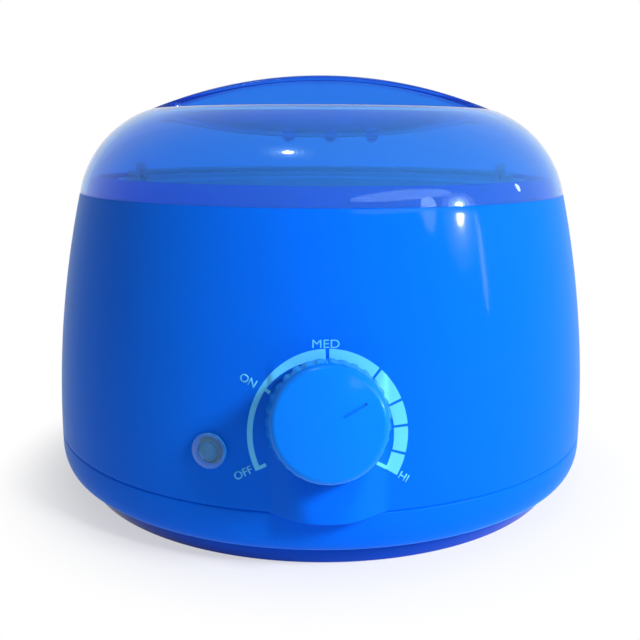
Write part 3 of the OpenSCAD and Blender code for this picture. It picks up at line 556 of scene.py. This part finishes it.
# The wall is pushed out into the chin, apart from the inner face that laps over the base
for vertex in casing.data.vertices:
    x, y, z = vertex.co / MM
    radius = math.hypot(x, y)
    azimuth = math.atan2(x, -y)
    outer = radius > side_radius(z) - skin_reach
    if z < chin_top and (outer or z > lap_top + 0.5):
        scale = 1 + chin_push(azimuth, z) / radius
        vertex.co.x *= scale
        vertex.co.y *= scale
pillar_r = 3.8
pillar_top = 44
pillar_web = 2
web_low = 26
web_high = pillar_top - 1
web_from = screw_circle_r + pillar_r - 1
web_to = side_radius(web_low, wall / 2)
web_middle = Vector((0, -(web_from + web_to) / 2, (web_low + web_high) / 2))
web_size = (pillar_web, web_to - web_from, web_high - web_low, 1)
pillars = []
webs = []
for azimuth in screw_azimuths:
    pillar = turned(
        "pillar",
        rounded([
            (screw_shank_r, floor_top, 0.1), (pillar_r, floor_top, 0.3),
            (pillar_r, pillar_top, 0.5), (screw_shank_r, pillar_top, 0.1),
        ]),
        arcs=((360, 40),),
    )
    pillar.data.transform(Matrix.Translation(around(screw_circle_r, azimuth)))
    pillars.append(pillar)
    bpy.ops.mesh.primitive_cube_add(size=MM)
    web = bpy.context.object
    web_turn = Matrix.Rotation(math.radians(azimuth), 4, "Z")
    web_shift = Matrix.Translation(web_middle * MM)
    web.data.transform(web_turn @ web_shift @ Matrix.Diagonal(web_size))
    webs.append(web)
cut(casing, [
    drill(shaft_hole_r, panel_cut, panel),
    drill(lamp_hole_r, side_cut, on_side(lamp_azimuth, lamp_z)),
    drill(gland_hole_r, side_cut, on_side(180, gland_z)),
])
cut(casing, [joined(pillars), joined(webs)], "UNION")
smooth(casing)
dress(casing, casing_plastic, "housing", ["outer_shell"])

# Dial
# The printed scale round the knob: a band that widens from OFF to MED and is broad up to
# HI, with gaps at its steps. It is pad-printed on the casing in light cyan ink.
dial_drop = 3.7
dial_r = 21.1
dial_stretch = 1.05
dial_start = -116.5
dial_on = -55
dial_end = 120
dial_step = 1.5
tick_width = 0.9
print_lift = 0.03
print_thick = 0.05
ink_cyan = (0.09, 0.56, 1.0)
print_from = 20
dial_frame = panel @ Matrix.Translation((0, -dial_drop * MM, print_from * MM))
dial_oval = Matrix.Diagonal((1, dial_stretch, 1, 1))

# Skin of printed ink: an even coat with small pinholes and a fine grain in its gloss and surface
ink_skin, ink_in, ink_out = new_skin(
    "ink_skin", {"Colour": (0.5, 0.5, 0.5), "Under": (0.1, 0.1, 0.1), "Pinholes": 0.3}
)
pinhole_level = 0.62
pinhole_gain = 5.0
grain = noise_node(ink_skin, 2600, 3)
holes = math_node(ink_skin, "SUBTRACT", grain, pinhole_level)
holes = math_node(ink_skin, "MAXIMUM", holes, 0.0)
holes = math_node(ink_skin, "MULTIPLY", holes, pinhole_gain)
holes = math_node(ink_skin, "MULTIPLY", holes, ink_in["Pinholes"])
coat = ink_skin.nodes.new("ShaderNodeMix")
coat.data_type = "RGBA"
ink_skin.links.new(holes, coat.inputs["Factor"])
ink_skin.links.new(ink_in["Colour"], coat.inputs["A"])
ink_skin.links.new(ink_in["Under"], coat.inputs["B"])
ink_skin.links.new(coat.outputs["Result"], ink_out["Colour"])
ink_skin.links.new(math_node(ink_skin, "MULTIPLY_ADD", grain, 0.2, 0.25), ink_out["Roughness"])
ink_skin.links.new(grain, ink_out["Height"])
dial_ink = new_material(
    "dial_ink",
    ink_skin,
    {"Colour": ink_cyan, "Under": casing_blue, "Pinholes": 0.35},
    bump=0.1,
    Specular_IOR_Level=0.3,
)


def printed(piece):
    """Lays a flat mark, made on the dial's plane, onto the casing as a thin coat of ink."""
    piece.matrix_world = dial_frame
    choose(piece)
    wrap = piece.modifiers.new("wrap", "SHRINKWRAP")
    wrap.wrap_method = "PROJECT"
    wrap.use_project_z = True
    wrap.use_negative_direction = True
    wrap.use_positive_direction = False
    wrap.target = casing
    wrap.offset = print_lift * MM
    bpy.ops.object.modifier_apply(modifier=wrap.name)
    coat_of_ink = piece.modifiers.new("coat", "SOLIDIFY")
    coat_of_ink.thickness = print_thick * MM
    coat_of_ink.offset = 1
    bpy.ops.object.modifier_apply(modifier=coat_of_ink.name)
    bpy.ops.object.transform_apply(location=True, rotation=True, scale=True)
    dress(piece, dial_ink, "housing")


def dial_arc(name, start, end, widths):
    """A stretch of the band between two angles clockwise from the top, drawn as a spun edge."""
    bpy.ops.object.select_all(action="DESELECT")
    bpy.ops.mesh.primitive_grid_add(x_subdivisions=1, y_subdivisions=4, size=1)
    arc = bpy.context.object
    arc.name = arc.data.name = name
    bpy.ops.object.mode_set(mode="EDIT")
    bpy.ops.mesh.select_all(action="DESELECT")
    bpy.ops.object.mode_set(mode="OBJECT")
    for vertex in arc.data.vertices:
        vertex.select = vertex.co.x > 0
    bpy.ops.object.mode_set(mode="EDIT")
    bpy.ops.mesh.delete(type="VERT")
    bpy.ops.object.mode_set(mode="OBJECT")
    first = math.radians(90 - start)
    for vertex in arc.data.vertices:
        radius = (dial_r - (0.5 - vertex.co.y)) * MM
        vertex.co = (radius * math.cos(first), radius * math.sin(first), 0)
    bpy.ops.object.mode_set(mode="EDIT")
    bpy.ops.mesh.select_all(action="SELECT")
    steps = max(2, round((end - start) / dial_step))
    bpy.ops.mesh.spin(steps=steps, angle=math.radians(end - start), center=(0, 0, 0), axis=(0, 0, 1))
    bpy.ops.mesh.select_all(action="SELECT")
    bpy.ops.mesh.normals_make_consistent(inside=False)
    bpy.ops.object.mode_set(mode="OBJECT")
    for vertex in arc.data.vertices:
        radius = vertex.co.length / MM
        angle = 90 - math.degrees(math.atan2(vertex.co.y, vertex.co.x))
        angle = (angle + 180) % 360 - 180
        share = min(max((angle - start) / (end - start), 0), 1)
        width = widths[0] + (widths[1] - widths[0]) * share
        vertex.co *= (dial_r - (dial_r - radius) * width) / radius
    if sum(face.normal.z for face in arc.data.polygons) < 0:
        arc.data.flip_normals()
    return arc


def dial_tick(name, angle, inner, outer):
    """A short radial stroke, subdivided so that it follows the casing."""
    bpy.ops.object.select_all(action="DESELECT")
    bpy.ops.mesh.primitive_grid_add(x_subdivisions=2, y_subdivisions=8, size=1)
    tick = bpy.context.object
    tick.name = tick.data.name = name
    turn = Matrix.Rotation(-math.radians(angle), 4, "Z")
    shift = Matrix.Translation((0, (inner + outer) / 2 * MM, 0))
    size = Matrix.Diagonal((tick_width * MM, (outer - inner) * MM, 1, 1))
    tick.data.transform(turn @ shift @ size)
    return tick


# Angles are in degrees clockwise from the top, widths and radii in millimetres
band_parts = [
    dial_arc("dial_band", dial_start, dial_on, (1.45, 1.5)),
    dial_arc("dial_part", dial_on, -1.8, (1.5, 3.0)),
]
for start, end in ((0.8, 39.0), (41.0, 65.0), (67.0, 83.1), (85.1, 103.1), (105.1, dial_end)):
    band_parts.append(dial_arc("dial_part", start, end, (3.8, 3.7)))
band_parts += [
    dial_tick("off_tick", dial_start + 1, dial_r - 3.2, dial_r - 0.7),
    dial_tick("on_tick", dial_on - 0.5, dial_r - 2.9, dial_r - 0.7),
    dial_tick("hi_tick", dial_end - 1.1, dial_r - 6.6, dial_r - 3.6),
]
dial_band = joined(band_parts)
dial_band.data.transform(dial_oval)
printed(dial_band)

# Each label's word, its middle from the dial's, its turn, and how its letters are widened
label_height = 2.2
cap_share = 0.72
labels = {
    "off_label": ("OFF", -22.2, -10.6, 27, 1.0, 0.04),
    "on_label": ("ON", -20.7, 13.9, -30, 1.0, 0.04),
    "med_label": ("MED", -0.6, 23.3, 0, 1.2, 0.0),
    "hi_label": ("HI", 20.1, -11.7, -31, 1.0, 0.04),
}
for name, (word, x, y, turn, stretch, thicken) in labels.items():
    bpy.ops.object.select_all(action="DESELECT")
    bpy.ops.object.text_add()
    label = bpy.context.object
    label.data.body = word
    label.data.size = label_height / cap_share * MM
    label.data.align_x = "CENTER"
    label.data.align_y = "CENTER"
    label.data.offset = thicken * MM
    label.data.fill_mode = "FRONT"
    bpy.ops.object.convert(target="MESH")
    label = bpy.context.object
    label.name = label.data.name = name
    placing = Matrix.Translation((x * MM, y * MM, 0)) @ Matrix.Rotation(math.radians(turn), 4, "Z")
    label.data.transform(placing @ Matrix.Diagonal((stretch, 1, 1, 1)))
    printed(label)

# Knob
# The moulded temperature knob, with thirty-one flutes round its skirt, a slightly crowned
# face and an engraved pointer line. It is pushed onto the thermostat's flatted shaft.
knob_r = 16.2
knob_front_r = 14.8
knob_gap = 1.74
knob_h = 11.0
knob_front = knob_gap + knob_h
knob_edge = 2.2
knob_crown = 0.5
knob_dome = 1.5
knob_skin = 1.8
hub_r = 4.6
shaft_bore_r = 3.05
flutes = 31
flute_points = 12
flute_depth = 0.4
flute_end = 2.0
flute_fade = 1.4
skirt_steps = 8
pointer_angle = 61
pointer_from = 2.8
pointer_length = 8.0
pointer_width = 0.7
pointer_depth = 0.5
knob_blue = (0.0, 0.185, 0.88)
crown_points = [
    (knob_front_r * share, knob_front + knob_crown - knob_dome * share**2, 0)
    for share in (0.88, 0.8, 0.7, 0.6, 0.5, 0.4, 0.3, 0.2, 0.1)
]
skirt_points = [
    (
        knob_r + (knob_front_r - knob_r) * i / skirt_steps,
        knob_gap + (knob_h - knob_edge) * i / skirt_steps, 0,
    )
    for i in range(1, skirt_steps)
]
knob_cap = turned(
    "knob_cap",
    rounded(
        [(knob_r, knob_gap, 0.3)]
        + skirt_points
        + [(knob_front_r + 0.15, knob_front + knob_crown - knob_dome + 0.1, knob_edge)]
        + crown_points
        + [
            (0, knob_front + knob_crown, 0), (0, knob_front - 2.2, 0),
            (shaft_bore_r, knob_front - 2.2, 0), (shaft_bore_r, knob_gap + 2, 0.2),
            (hub_r, knob_gap + 2, 0.3), (hub_r, knob_front - 2.4, 0.5),
            (knob_front_r - knob_skin, knob_front - 2.4, 0.8), (knob_r - knob_skin, knob_gap, 0.3),
        ],
        steps=8,
    ),
    arcs=((360, flutes * flute_points),),
)
for vertex in knob_cap.data.vertices:
    x, y, z = vertex.co / MM
    radius = math.hypot(x, y)
    skirt = knob_r + (knob_front_r - knob_r) * (z - knob_gap) / knob_h
    if radius > skirt - 1.4 and radius > knob_front_r - 1.6:
        wave = 0.5 + 0.5 * math.cos(flutes * math.atan2(y, x))
        fade = min(max((knob_front - flute_end - z) / flute_fade, 0), 1)
        scale = 1 - flute_depth * wave**1.5 * fade * (2 - fade) / radius
        vertex.co.x *= scale
        vertex.co.y *= scale
pointer_turn = Matrix.Rotation(math.radians(90 - pointer_angle), 4, "Z")
pointer_shift = Matrix.Translation((pointer_from * MM, 0, (knob_front - 0.1) * MM))
pointer_place = pointer_turn @ pointer_shift
cut(knob_cap, [slot_cutter(pointer_length, pointer_width, 2 * pointer_depth, pointer_place)])
knob_cap.data.transform(panel)
smooth(knob_cap, 40)
knob_plastic = new_material(
    "knob_plastic",
    moulded_skin,
    {"Colour": knob_blue, "Mottle": 0.04, "Gloss": 0.26, "Haze": 0.06, "Scuffs": 0.5},
    IOR=1.49,
    Specular_IOR_Level=0.2,
    Specular_Tint=blue_gloss,
    Sheen_Weight=0.2,
    Sheen_Roughness=0.4,
    Sheen_Tint=sheen_blue,
    Coat_Weight=0.15,
    Coat_Roughness=0.12,
)
dress(knob_cap, knob_plastic, "knob", ["knob"])

# Indicator lamp
# A stepped clear lens pushed through the casing, left of the knob, with the neon lamp
# behind it. The lens is moulded in clear plastic and gripped from inside by a ring.
lens_r = 4.9
stem_r = 3.6
stem_end = -7.5
lens_bore_r = 2.8
lens = turned(
    "lamp_window",
    rounded([
        (0, 2.25, 0), (1.2, 2.2, 0.3), (2.2, 1.95, 0.25), (2.55, 1.35, 0.3), (3.55, 1.75, 0.35),
        (lens_r, 1.05, 0.35), (lens_r, 0.02, 0.15), (stem_r, 0.02, 0.1), (stem_r, stem_end, 0.3),
        (lens_bore_r, stem_end, 0.2), (lens_bore_r, 0.1, 0.6), (0, 0.5, 0),
    ], steps=6),
    arcs=((360, 96),),
)
lens.data.transform(on_side(lamp_azimuth, lamp_z))
smooth(lens, 50)
lens_plastic = new_material(
    "lens_plastic",
    moulded_skin,
    {"Colour": (0.06, 0.52, 1.0), "Mottle": 0.1, "Gloss": 0.06, "Haze": 0.10, "Scuffs": 1.0},
    IOR=1.45,
    Transmission_Weight=0.8,
)
dress(lens, lens_plastic, "housing", ["lamp_lens"])

# Pot
# The lift-out wax pot, drawn from aluminium sheet, with a flat flange and a rolled bead
# round its rim. It hangs in the well by the flange.
pot_r = 60.9
pot_wall = 1.0
pot_depth = 63
pot_bottom = deck_z - pot_depth
pot_corner = 6
flange_t = 1.2
bead_r = 1.4
bead_at = pot_r + 7.9
bead_z = deck_z + bead_r + 0.4
bead_sweep = 300
bead_steps = 16
bead_arc = []
for i in range(bead_steps + 1):
    angle = math.radians(-bead_sweep / 2 + bead_sweep * i / bead_steps)
    bead_arc.append((bead_at + bead_r * math.cos(angle), bead_z + bead_r * math.sin(angle), 0))
wax_pot = turned(
    "pot",
    rounded(
        [(0, pot_bottom, 0), (pot_r, pot_bottom, pot_corner), (pot_r, deck_z, 0.6)]
        + bead_arc
        + [
            (pot_r - pot_wall, deck_z + flange_t, 1.0),
            (pot_r - pot_wall, pot_bottom + pot_wall, pot_corner - pot_wall),
            (0, pot_bottom + pot_wall, 0),
        ],
        steps=8,
    ),
)
smooth(wax_pot, 40)
aluminium = new_material(
    "drawn_aluminium",
    metal_skin,
    {"Colour": (0.80, 0.81, 0.83), "Lines": 0.12, "Fineness": 2200.0, "Polish": 0.36, "Tarnish": 0.1},
    Metallic=1.0,
)
dress(wax_pot, aluminium, "pot", ["wax_pot"])

# Lid
# The one-piece lift-off lid of blue tinted clear plastic: a rounded shoulder, a flat dome
# and two finger recesses pressed down on each side of a standing grip.
lid_rim_r = side_radius(ledge_z)
lid_top = 136.1
lid_wall = 1.8
shoulder_w = 21
dome_rise = 12.5
dome_edge = Vector((lid_rim_r - shoulder_w, lid_top - dome_rise))
dome_curve = (dome_edge.x**2 + dome_rise**2) / (2 * dome_rise)
dome_centre = Vector((0, lid_top - dome_curve))
dome_out = (dome_edge - dome_centre) / dome_curve
rim_step = Vector((lid_rim_r, ledge_z)) - dome_edge
shoulder_curve = -rim_step.length_squared / (2 * dome_out.dot(rim_step))
shoulder_centre = dome_edge - shoulder_curve * dome_out
recess_floor = lid_top - 17.5
recess_r = dome_edge.x - 4
recess_slope = 27
grip_top = 7.0
grip_foot = 9.5
grip_head_roll = 1.5
grip_foot_roll = 3.5
rim_roll = 2.4
edge_shade_reach = 1.9
lid_blue = (0.09, 0.42, 0.97)
# painted shade: the deeper blue painted along the grip's upper edges
edge_shade_blue = (0.01, 0.13, 0.80)
bowl_roll = 5.0
last_line = 16


def dome_height(radius):
    return dome_centre.y + math.sqrt(dome_curve**2 - radius**2)


recess_rise = dome_height(recess_r) - recess_floor
grip_side = rounded(
    [
        (0, 0, 0), (grip_top, 0, grip_head_roll), (grip_foot, recess_floor - lid_top, grip_foot_roll),
        (last_line, recess_floor - lid_top, 0),
    ],
    steps=9,
)


def press_share(across):
    """How much of the recess's depth is reached at a distance from the grip's middle."""
    for (y0, z0), (y1, z1) in zip(grip_side, grip_side[1:]):
        if across <= y1:
            share = (across - y0) / max(y1 - y0, 1e-9)
            return (z0 + (z1 - z0) * share) / (recess_floor - lid_top)
    return 1.0


def lid_height(x, y):
    """Height of the lid's upper skin inside the shoulder, with the recesses pressed in."""
    radius = math.hypot(x, y)
    slope = recess_floor + (radius - (recess_r - recess_slope)) * recess_rise / recess_slope
    bowl = blended(recess_floor, slope, bowl_roll)
    depth = blended(dome_height(radius) - bowl, 0, rim_roll)
    return dome_height(radius) - depth * press_share(abs(y))


shoulder_low = math.asin((ledge_z - shoulder_centre.y) / shoulder_curve)
shoulder_high = math.atan2(dome_out.y, dome_out.x)
shoulder_steps = 24
lid_columns = 144
rim_rows = 60
# Rows of the grid's half, close together where the grip rounds over and meets the recess
half_rows = [0, 1.2, 2.4, 3.6]
half_rows += [y for y, z in grip_side[1:-1]]
half_rows += [10.8, 11.7, 12.7, 13.8, 14.9, last_line]
first_angle = math.asin(last_line / dome_edge.x)
for i in range(1, rim_rows + 1):
    half_rows.append(dome_edge.x * math.sin(first_angle + (math.pi / 2 - first_angle) * i / rim_rows))
half_rows = sorted(set(round(y, 4) for y in half_rows))
lid_rows = [-y for y in reversed(half_rows[1:])] + half_rows
bpy.ops.object.select_all(action="DESELECT")
bpy.ops.mesh.primitive_grid_add(x_subdivisions=lid_columns, y_subdivisions=len(lid_rows) - 1, size=2)
lid_cover = bpy.context.object
lid_cover.name = lid_cover.data.name = "lid_cover"
for vertex in lid_cover.data.vertices:
    y = lid_rows[round((vertex.co.y + 1) / 2 * (len(lid_rows) - 1))]
    x = vertex.co.x * math.sqrt(max(dome_edge.x**2 - y**2, 0))
    vertex.co = Vector((x, y, lid_height(x, y))) * MM
bpy.ops.object.mode_set(mode="EDIT")
bpy.ops.mesh.select_mode(type="EDGE")
bpy.ops.mesh.select_all(action="SELECT")
bpy.ops.mesh.remove_doubles(threshold=0.002 * MM)
bpy.ops.mesh.select_all(action="DESELECT")
bpy.ops.mesh.select_non_manifold(extend=False)
radius, height = dome_edge
for i in range(1, shoulder_steps + 1):
    angle = shoulder_high + (shoulder_low - shoulder_high) * i / shoulder_steps
    ring_r = shoulder_centre.x + shoulder_curve * math.cos(angle)
    ring_z = shoulder_centre.y + shoulder_curve * math.sin(angle)
    bpy.ops.mesh.extrude_region_move(TRANSFORM_OT_translate={"value": (0, 0, (ring_z - height) * MM)})
    bpy.ops.transform.resize(value=(ring_r / radius, ring_r / radius, 1), center_override=(0, 0, 0))
    radius, height = ring_r, ring_z
bpy.ops.mesh.select_all(action="SELECT")
bpy.ops.mesh.normals_make_consistent(inside=False)
bpy.ops.object.mode_set(mode="OBJECT")
if sum(face.normal.z * face.area for face in lid_cover.data.polygons) < 0:
    lid_cover.data.flip_normals()
choose(lid_cover)
skin_of_lid = lid_cover.modifiers.new("wall", "SOLIDIFY")
skin_of_lid.thickness = lid_wall * MM
skin_of_lid.offset = -1
skin_of_lid.use_even_offset = True
bpy.ops.object.modifier_apply(modifier=skin_of_lid.name)
pip_r = 2.1
pip_drop = 2.4
pip_y = -20
gate_r = 1.2
pips = []
nubs = [(x, pip_y, recess_floor - lid_wall, pip_r, pip_drop) for x in (-11, 2.4, 15.8)]
nubs.append((-1, 0, lid_top - lid_wall, gate_r, gate_r))
for x, y, z, nub_r, drop in nubs:
    bpy.ops.object.select_all(action="DESELECT")
    bpy.ops.mesh.primitive_uv_sphere_add(segments=32, ring_count=16, radius=nub_r * MM)
    pip = bpy.context.object
    flatten = Matrix.Diagonal((1, 1, drop / nub_r, 1))
    pip.data.transform(Matrix.Translation(Vector((x, y, z)) * MM) @ flatten)
    pips.append(pip)
cut(lid_cover, pips, "UNION")
smooth(lid_cover, 40)
lid_plastic = new_material(
    "lid_plastic",
    moulded_skin,
    {"Colour": lid_blue, "Mottle": 0.03, "Gloss": 0.03, "Haze": 0.03, "Scuffs": 0.5},
    IOR=1.27,
    Transmission_Weight=0.84,
    Specular_Tint=(0.6, 0.9, 1.0),
    bump=0.04,
)
# Painted shade: the grip's upper edges, where the folded wall is seen thick, are painted a deeper
# blue, standing for the dark line that light shows there after its long path through the plastic
tree = lid_plastic.node_tree
lid_place = tree.nodes.new("ShaderNodeTexCoord").outputs["Object"]
lid_parts = tree.nodes.new("ShaderNodeSeparateXYZ")
tree.links.new(lid_place, lid_parts.inputs[0])
across = math_node(tree, "ABSOLUTE", lid_parts.outputs["Y"])
off_edge = math_node(tree, "SUBTRACT", across, grip_top * MM)
off_edge = math_node(tree, "ABSOLUTE", off_edge)
edge_shade_mask = math_node(tree, "LESS_THAN", off_edge, edge_shade_reach * MM)
dome_reach = tree.nodes.new("ShaderNodeVectorMath")
dome_reach.operation = "DISTANCE"
dome_reach.inputs[1].default_value = (0, 0, dome_centre.y * MM)
tree.links.new(lid_place, dome_reach.inputs[0])
on_dome = math_node(tree, "GREATER_THAN", dome_reach.outputs["Value"], (dome_curve - edge_shade_reach) * MM)
edge_shade_mask = math_node(tree, "MULTIPLY", edge_shade_mask, on_dome)
edge_shade_mix = tree.nodes.new("ShaderNodeMix")
edge_shade_mix.data_type = "RGBA"
tree.links.new(edge_shade_mask, edge_shade_mix.inputs["Factor"])
lid_bsdf = tree.nodes["Principled BSDF"]
tree.links.new(lid_bsdf.inputs["Base Color"].links[0].from_socket, edge_shade_mix.inputs["A"])
edge_shade_mix.inputs["B"].default_value = (*edge_shade_blue, 1)
tree.links.new(edge_shade_mix.outputs["Result"], lid_bsdf.inputs["Base Color"])
dress(lid_cover, lid_plastic, "lid", ["lid"])

# Pieces that keep their CAD shape
# The well, the bail and its ears, the cord's gland and the electric parts that the casing
# hides keep the shape of the frame, and get the finish of their real materials.


def plastic(name, colour, gloss, **shader):
    return new_material(
        name,
        moulded_skin,
        {"Colour": colour, "Mottle": 0.12, "Gloss": gloss, "Haze": 0.12, "Scuffs": 0.8},
        **shader,
    )


def metal(name, colour):
    return new_material(
        name,
        metal_skin,
        {"Colour": colour, "Lines": 0.15, "Fineness": 2000.0, "Polish": 0.25, "Tarnish": 0.18},
        Metallic=1.0,
    )


finishes = {
    "aluminium": aluminium,
    "steel": steel,
    "mica": plastic("mica_paper", (0.78, 0.74, 0.62), 0.5, bump=0.3),
    "glass_fibre": plastic("glass_fibre_wrap", (0.90, 0.89, 0.84), 0.8, bump=0.6, relief=0.3),
    "ceramic": plastic("glazed_ceramic", (0.88, 0.87, 0.82), 0.3),
    "copper": metal("drawn_copper", (0.75, 0.45, 0.30)),
    "brass": metal("turned_brass", (0.78, 0.62, 0.28)),
    "lamp_glass": plastic("neon_glass", (0.78, 0.74, 0.74), 0.05, Transmission_Weight=0.7),
    "resistor": plastic("resistor_lacquer", (0.80, 0.68, 0.45), 0.3),
    "gland_black": plastic("gland_nylon", (0.03, 0.03, 0.035), 0.4),
    "wire_red": plastic("red_sleeve", (0.60, 0.05, 0.04), 0.45),
    "wire_black": plastic("black_sleeve", (0.03, 0.03, 0.035), 0.45),
    "wire_grey": plastic("grey_sleeve", (0.70, 0.70, 0.74), 0.45),
    "wire_green": plastic("green_sleeve", (0.10, 0.40, 0.06), 0.45),
}
for subpart in frame["record"]["subparts"]:
    node = frame["nodes"][subpart["node"]]
    if node.hide_render:
        continue
    node.data.materials.clear()
    node.data.materials.append(finishes[subpart["material_slot"]])

# Studio
# A pale floor that keeps the object's shadow, a white surround, two soft lamps at the right,
# and small lamps that are only mirrored, like a room's windows and its ceiling lamp.
floor_size = 6.0
room_level = 0.24
bpy.ops.object.select_all(action="DESELECT")
bpy.ops.mesh.primitive_plane_add(size=floor_size)
floor = bpy.context.object
floor.name = "floor"


def seen_ray(tree):
    """1 for the rays that show floor and surround as plain white, 0 for those that light."""
    path = tree.nodes.new("ShaderNodeLightPath").outputs
    seen = math_node(tree, "MAXIMUM", path["Is Camera Ray"], path["Is Transmission Ray"])
    return math_node(tree, "MAXIMUM", seen, path["Is Glossy Ray"])


floor_paint = bpy.data.materials.new("floor_paint")
floor_paint.use_nodes = True
tree = floor_paint.node_tree
floor_bsdf = tree.nodes["Principled BSDF"]
floor_bsdf.inputs["Base Color"].default_value = (0.9, 0.9, 0.9, 1)
floor_bsdf.inputs["Roughness"].default_value = 0.8
floor_glow = tree.nodes.new("ShaderNodeEmission")
floor_mix = tree.nodes.new("ShaderNodeMixShader")
floor_place = tree.nodes.new("ShaderNodeTexCoord")
floor_reach = tree.nodes.new("ShaderNodeVectorMath")
floor_reach.operation = "LENGTH"
tree.links.new(floor_place.outputs["Object"], floor_reach.inputs[0])
# The white gives way to the painted floor near the object, where its shadow falls
floor_fade = tree.nodes.new("ShaderNodeMapRange")
floor_fade.interpolation_type = "SMOOTHSTEP"
for label, value in (("From Min", 0.086), ("From Max", 0.12), ("To Min", 0.55), ("To Max", 1.0)):
    floor_fade.inputs[label].default_value = value
tree.links.new(floor_reach.outputs["Value"], floor_fade.inputs["Value"])
glow_share = math_node(tree, "MULTIPLY", seen_ray(tree), floor_fade.outputs["Result"])
tree.links.new(glow_share, floor_mix.inputs["Fac"])
tree.links.new(floor_bsdf.outputs["BSDF"], floor_mix.inputs[1])
tree.links.new(floor_glow.outputs["Emission"], floor_mix.inputs[2])
tree.links.new(floor_mix.outputs["Shader"], tree.nodes["Material Output"].inputs["Surface"])
floor.data.materials.append(floor_paint)

world = bpy.data.worlds.new("surround")
bpy.context.scene.world = world
world.use_nodes = True
tree = world.node_tree
surround = tree.nodes["Background"]
tree.links.new(math_node(tree, "MAXIMUM", seen_ray(tree), room_level), surround.inputs["Strength"])
surround.inputs["Color"].default_value = (1, 1, 1, 1)
lamp_aim = Vector((0, 0, 0.07))


def lamp_panel(name, azimuth, elevation, distance, size, radiance, lights=False):
    """An area lamp at angles in degrees from the front; it lights the scene or is only mirrored."""
    data = bpy.data.lights.new(name, "AREA")
    data.shape = "RECTANGLE" if lights else "ELLIPSE"
    data.size, data.size_y = size
    data.energy = radiance * math.pi * size[0] * size[1] * (1 if lights else math.pi / 4)
    lamp = bpy.data.objects.new(name, data)
    a, e = math.radians(azimuth), math.radians(elevation)
    out = Vector((math.sin(a) * math.cos(e), -math.cos(a) * math.cos(e), math.sin(e)))
    lamp.location = lamp_aim + out * distance
    lamp.rotation_euler = out.to_track_quat("Z", "Y").to_euler()
    lamp.visible_camera = lamp.visible_transmission = False
    lamp.visible_diffuse = lights
    lamp.visible_glossy = not lights
    bpy.context.scene.collection.objects.link(lamp)


lamp_panel("key", 50, 31, 1.2, (0.26, 0.26), 78, lights=True)
lamp_panel("right_wall", 80, 18, 1.3, (0.5, 0.5), 3, lights=True)
# Two bright spots, each with three wider and weaker lamps behind it as a halo
for share, level in ((1, 160), (1.9, 7), (3.2, 3.5), (5, 1.5)):
    distance = 1.2 + share / 100
    lamp_panel("ceiling_lamp", -30.4, 67.3, distance, (0.08 * share, 0.06 * share), level)
    lamp_panel("window_lamp", 60.5, 17, distance, (0.07 * share, 0.07 * share), level * 2.5)
lamp_panel("window_edge", 69, 9, 1.2, (0.05, 0.3), 20)
lamp_panel("window_near", 46, 20.5, 1.2, (0.14, 0.17), 16)
lamp_panel("window_high", 36, 28, 1.5, (1.2, 0.22), 7)
lamp_panel("window_far", 99, 17.9, 1.2, (0.05, 0.09), 25)

focal_px = 821
picture_px = 640
camera_data = bpy.data.cameras.new("camera")
camera_data.sensor_width = 36
camera_data.lens = focal_px / picture_px * camera_data.sensor_width
camera_data.clip_start = 0.01
camera = bpy.data.objects.new("camera", camera_data)
bpy.context.scene.collection.objects.link(camera)
camera.location = (-6.16 * MM, -291.9 * MM, 115.5 * MM)
camera_turn = Matrix.Rotation(math.radians(-1.14), 3, "Z")
camera_pitch = Matrix.Rotation(math.radians(90 - 12.5), 3, "X")
camera_roll = Matrix.Rotation(math.radians(0.22), 3, "Z")
camera.rotation_euler = (camera_turn @ camera_pitch @ camera_roll).to_euler()
bpy.context.scene.camera = camera
bpy.context.scene.view_settings.view_transform = "Standard"
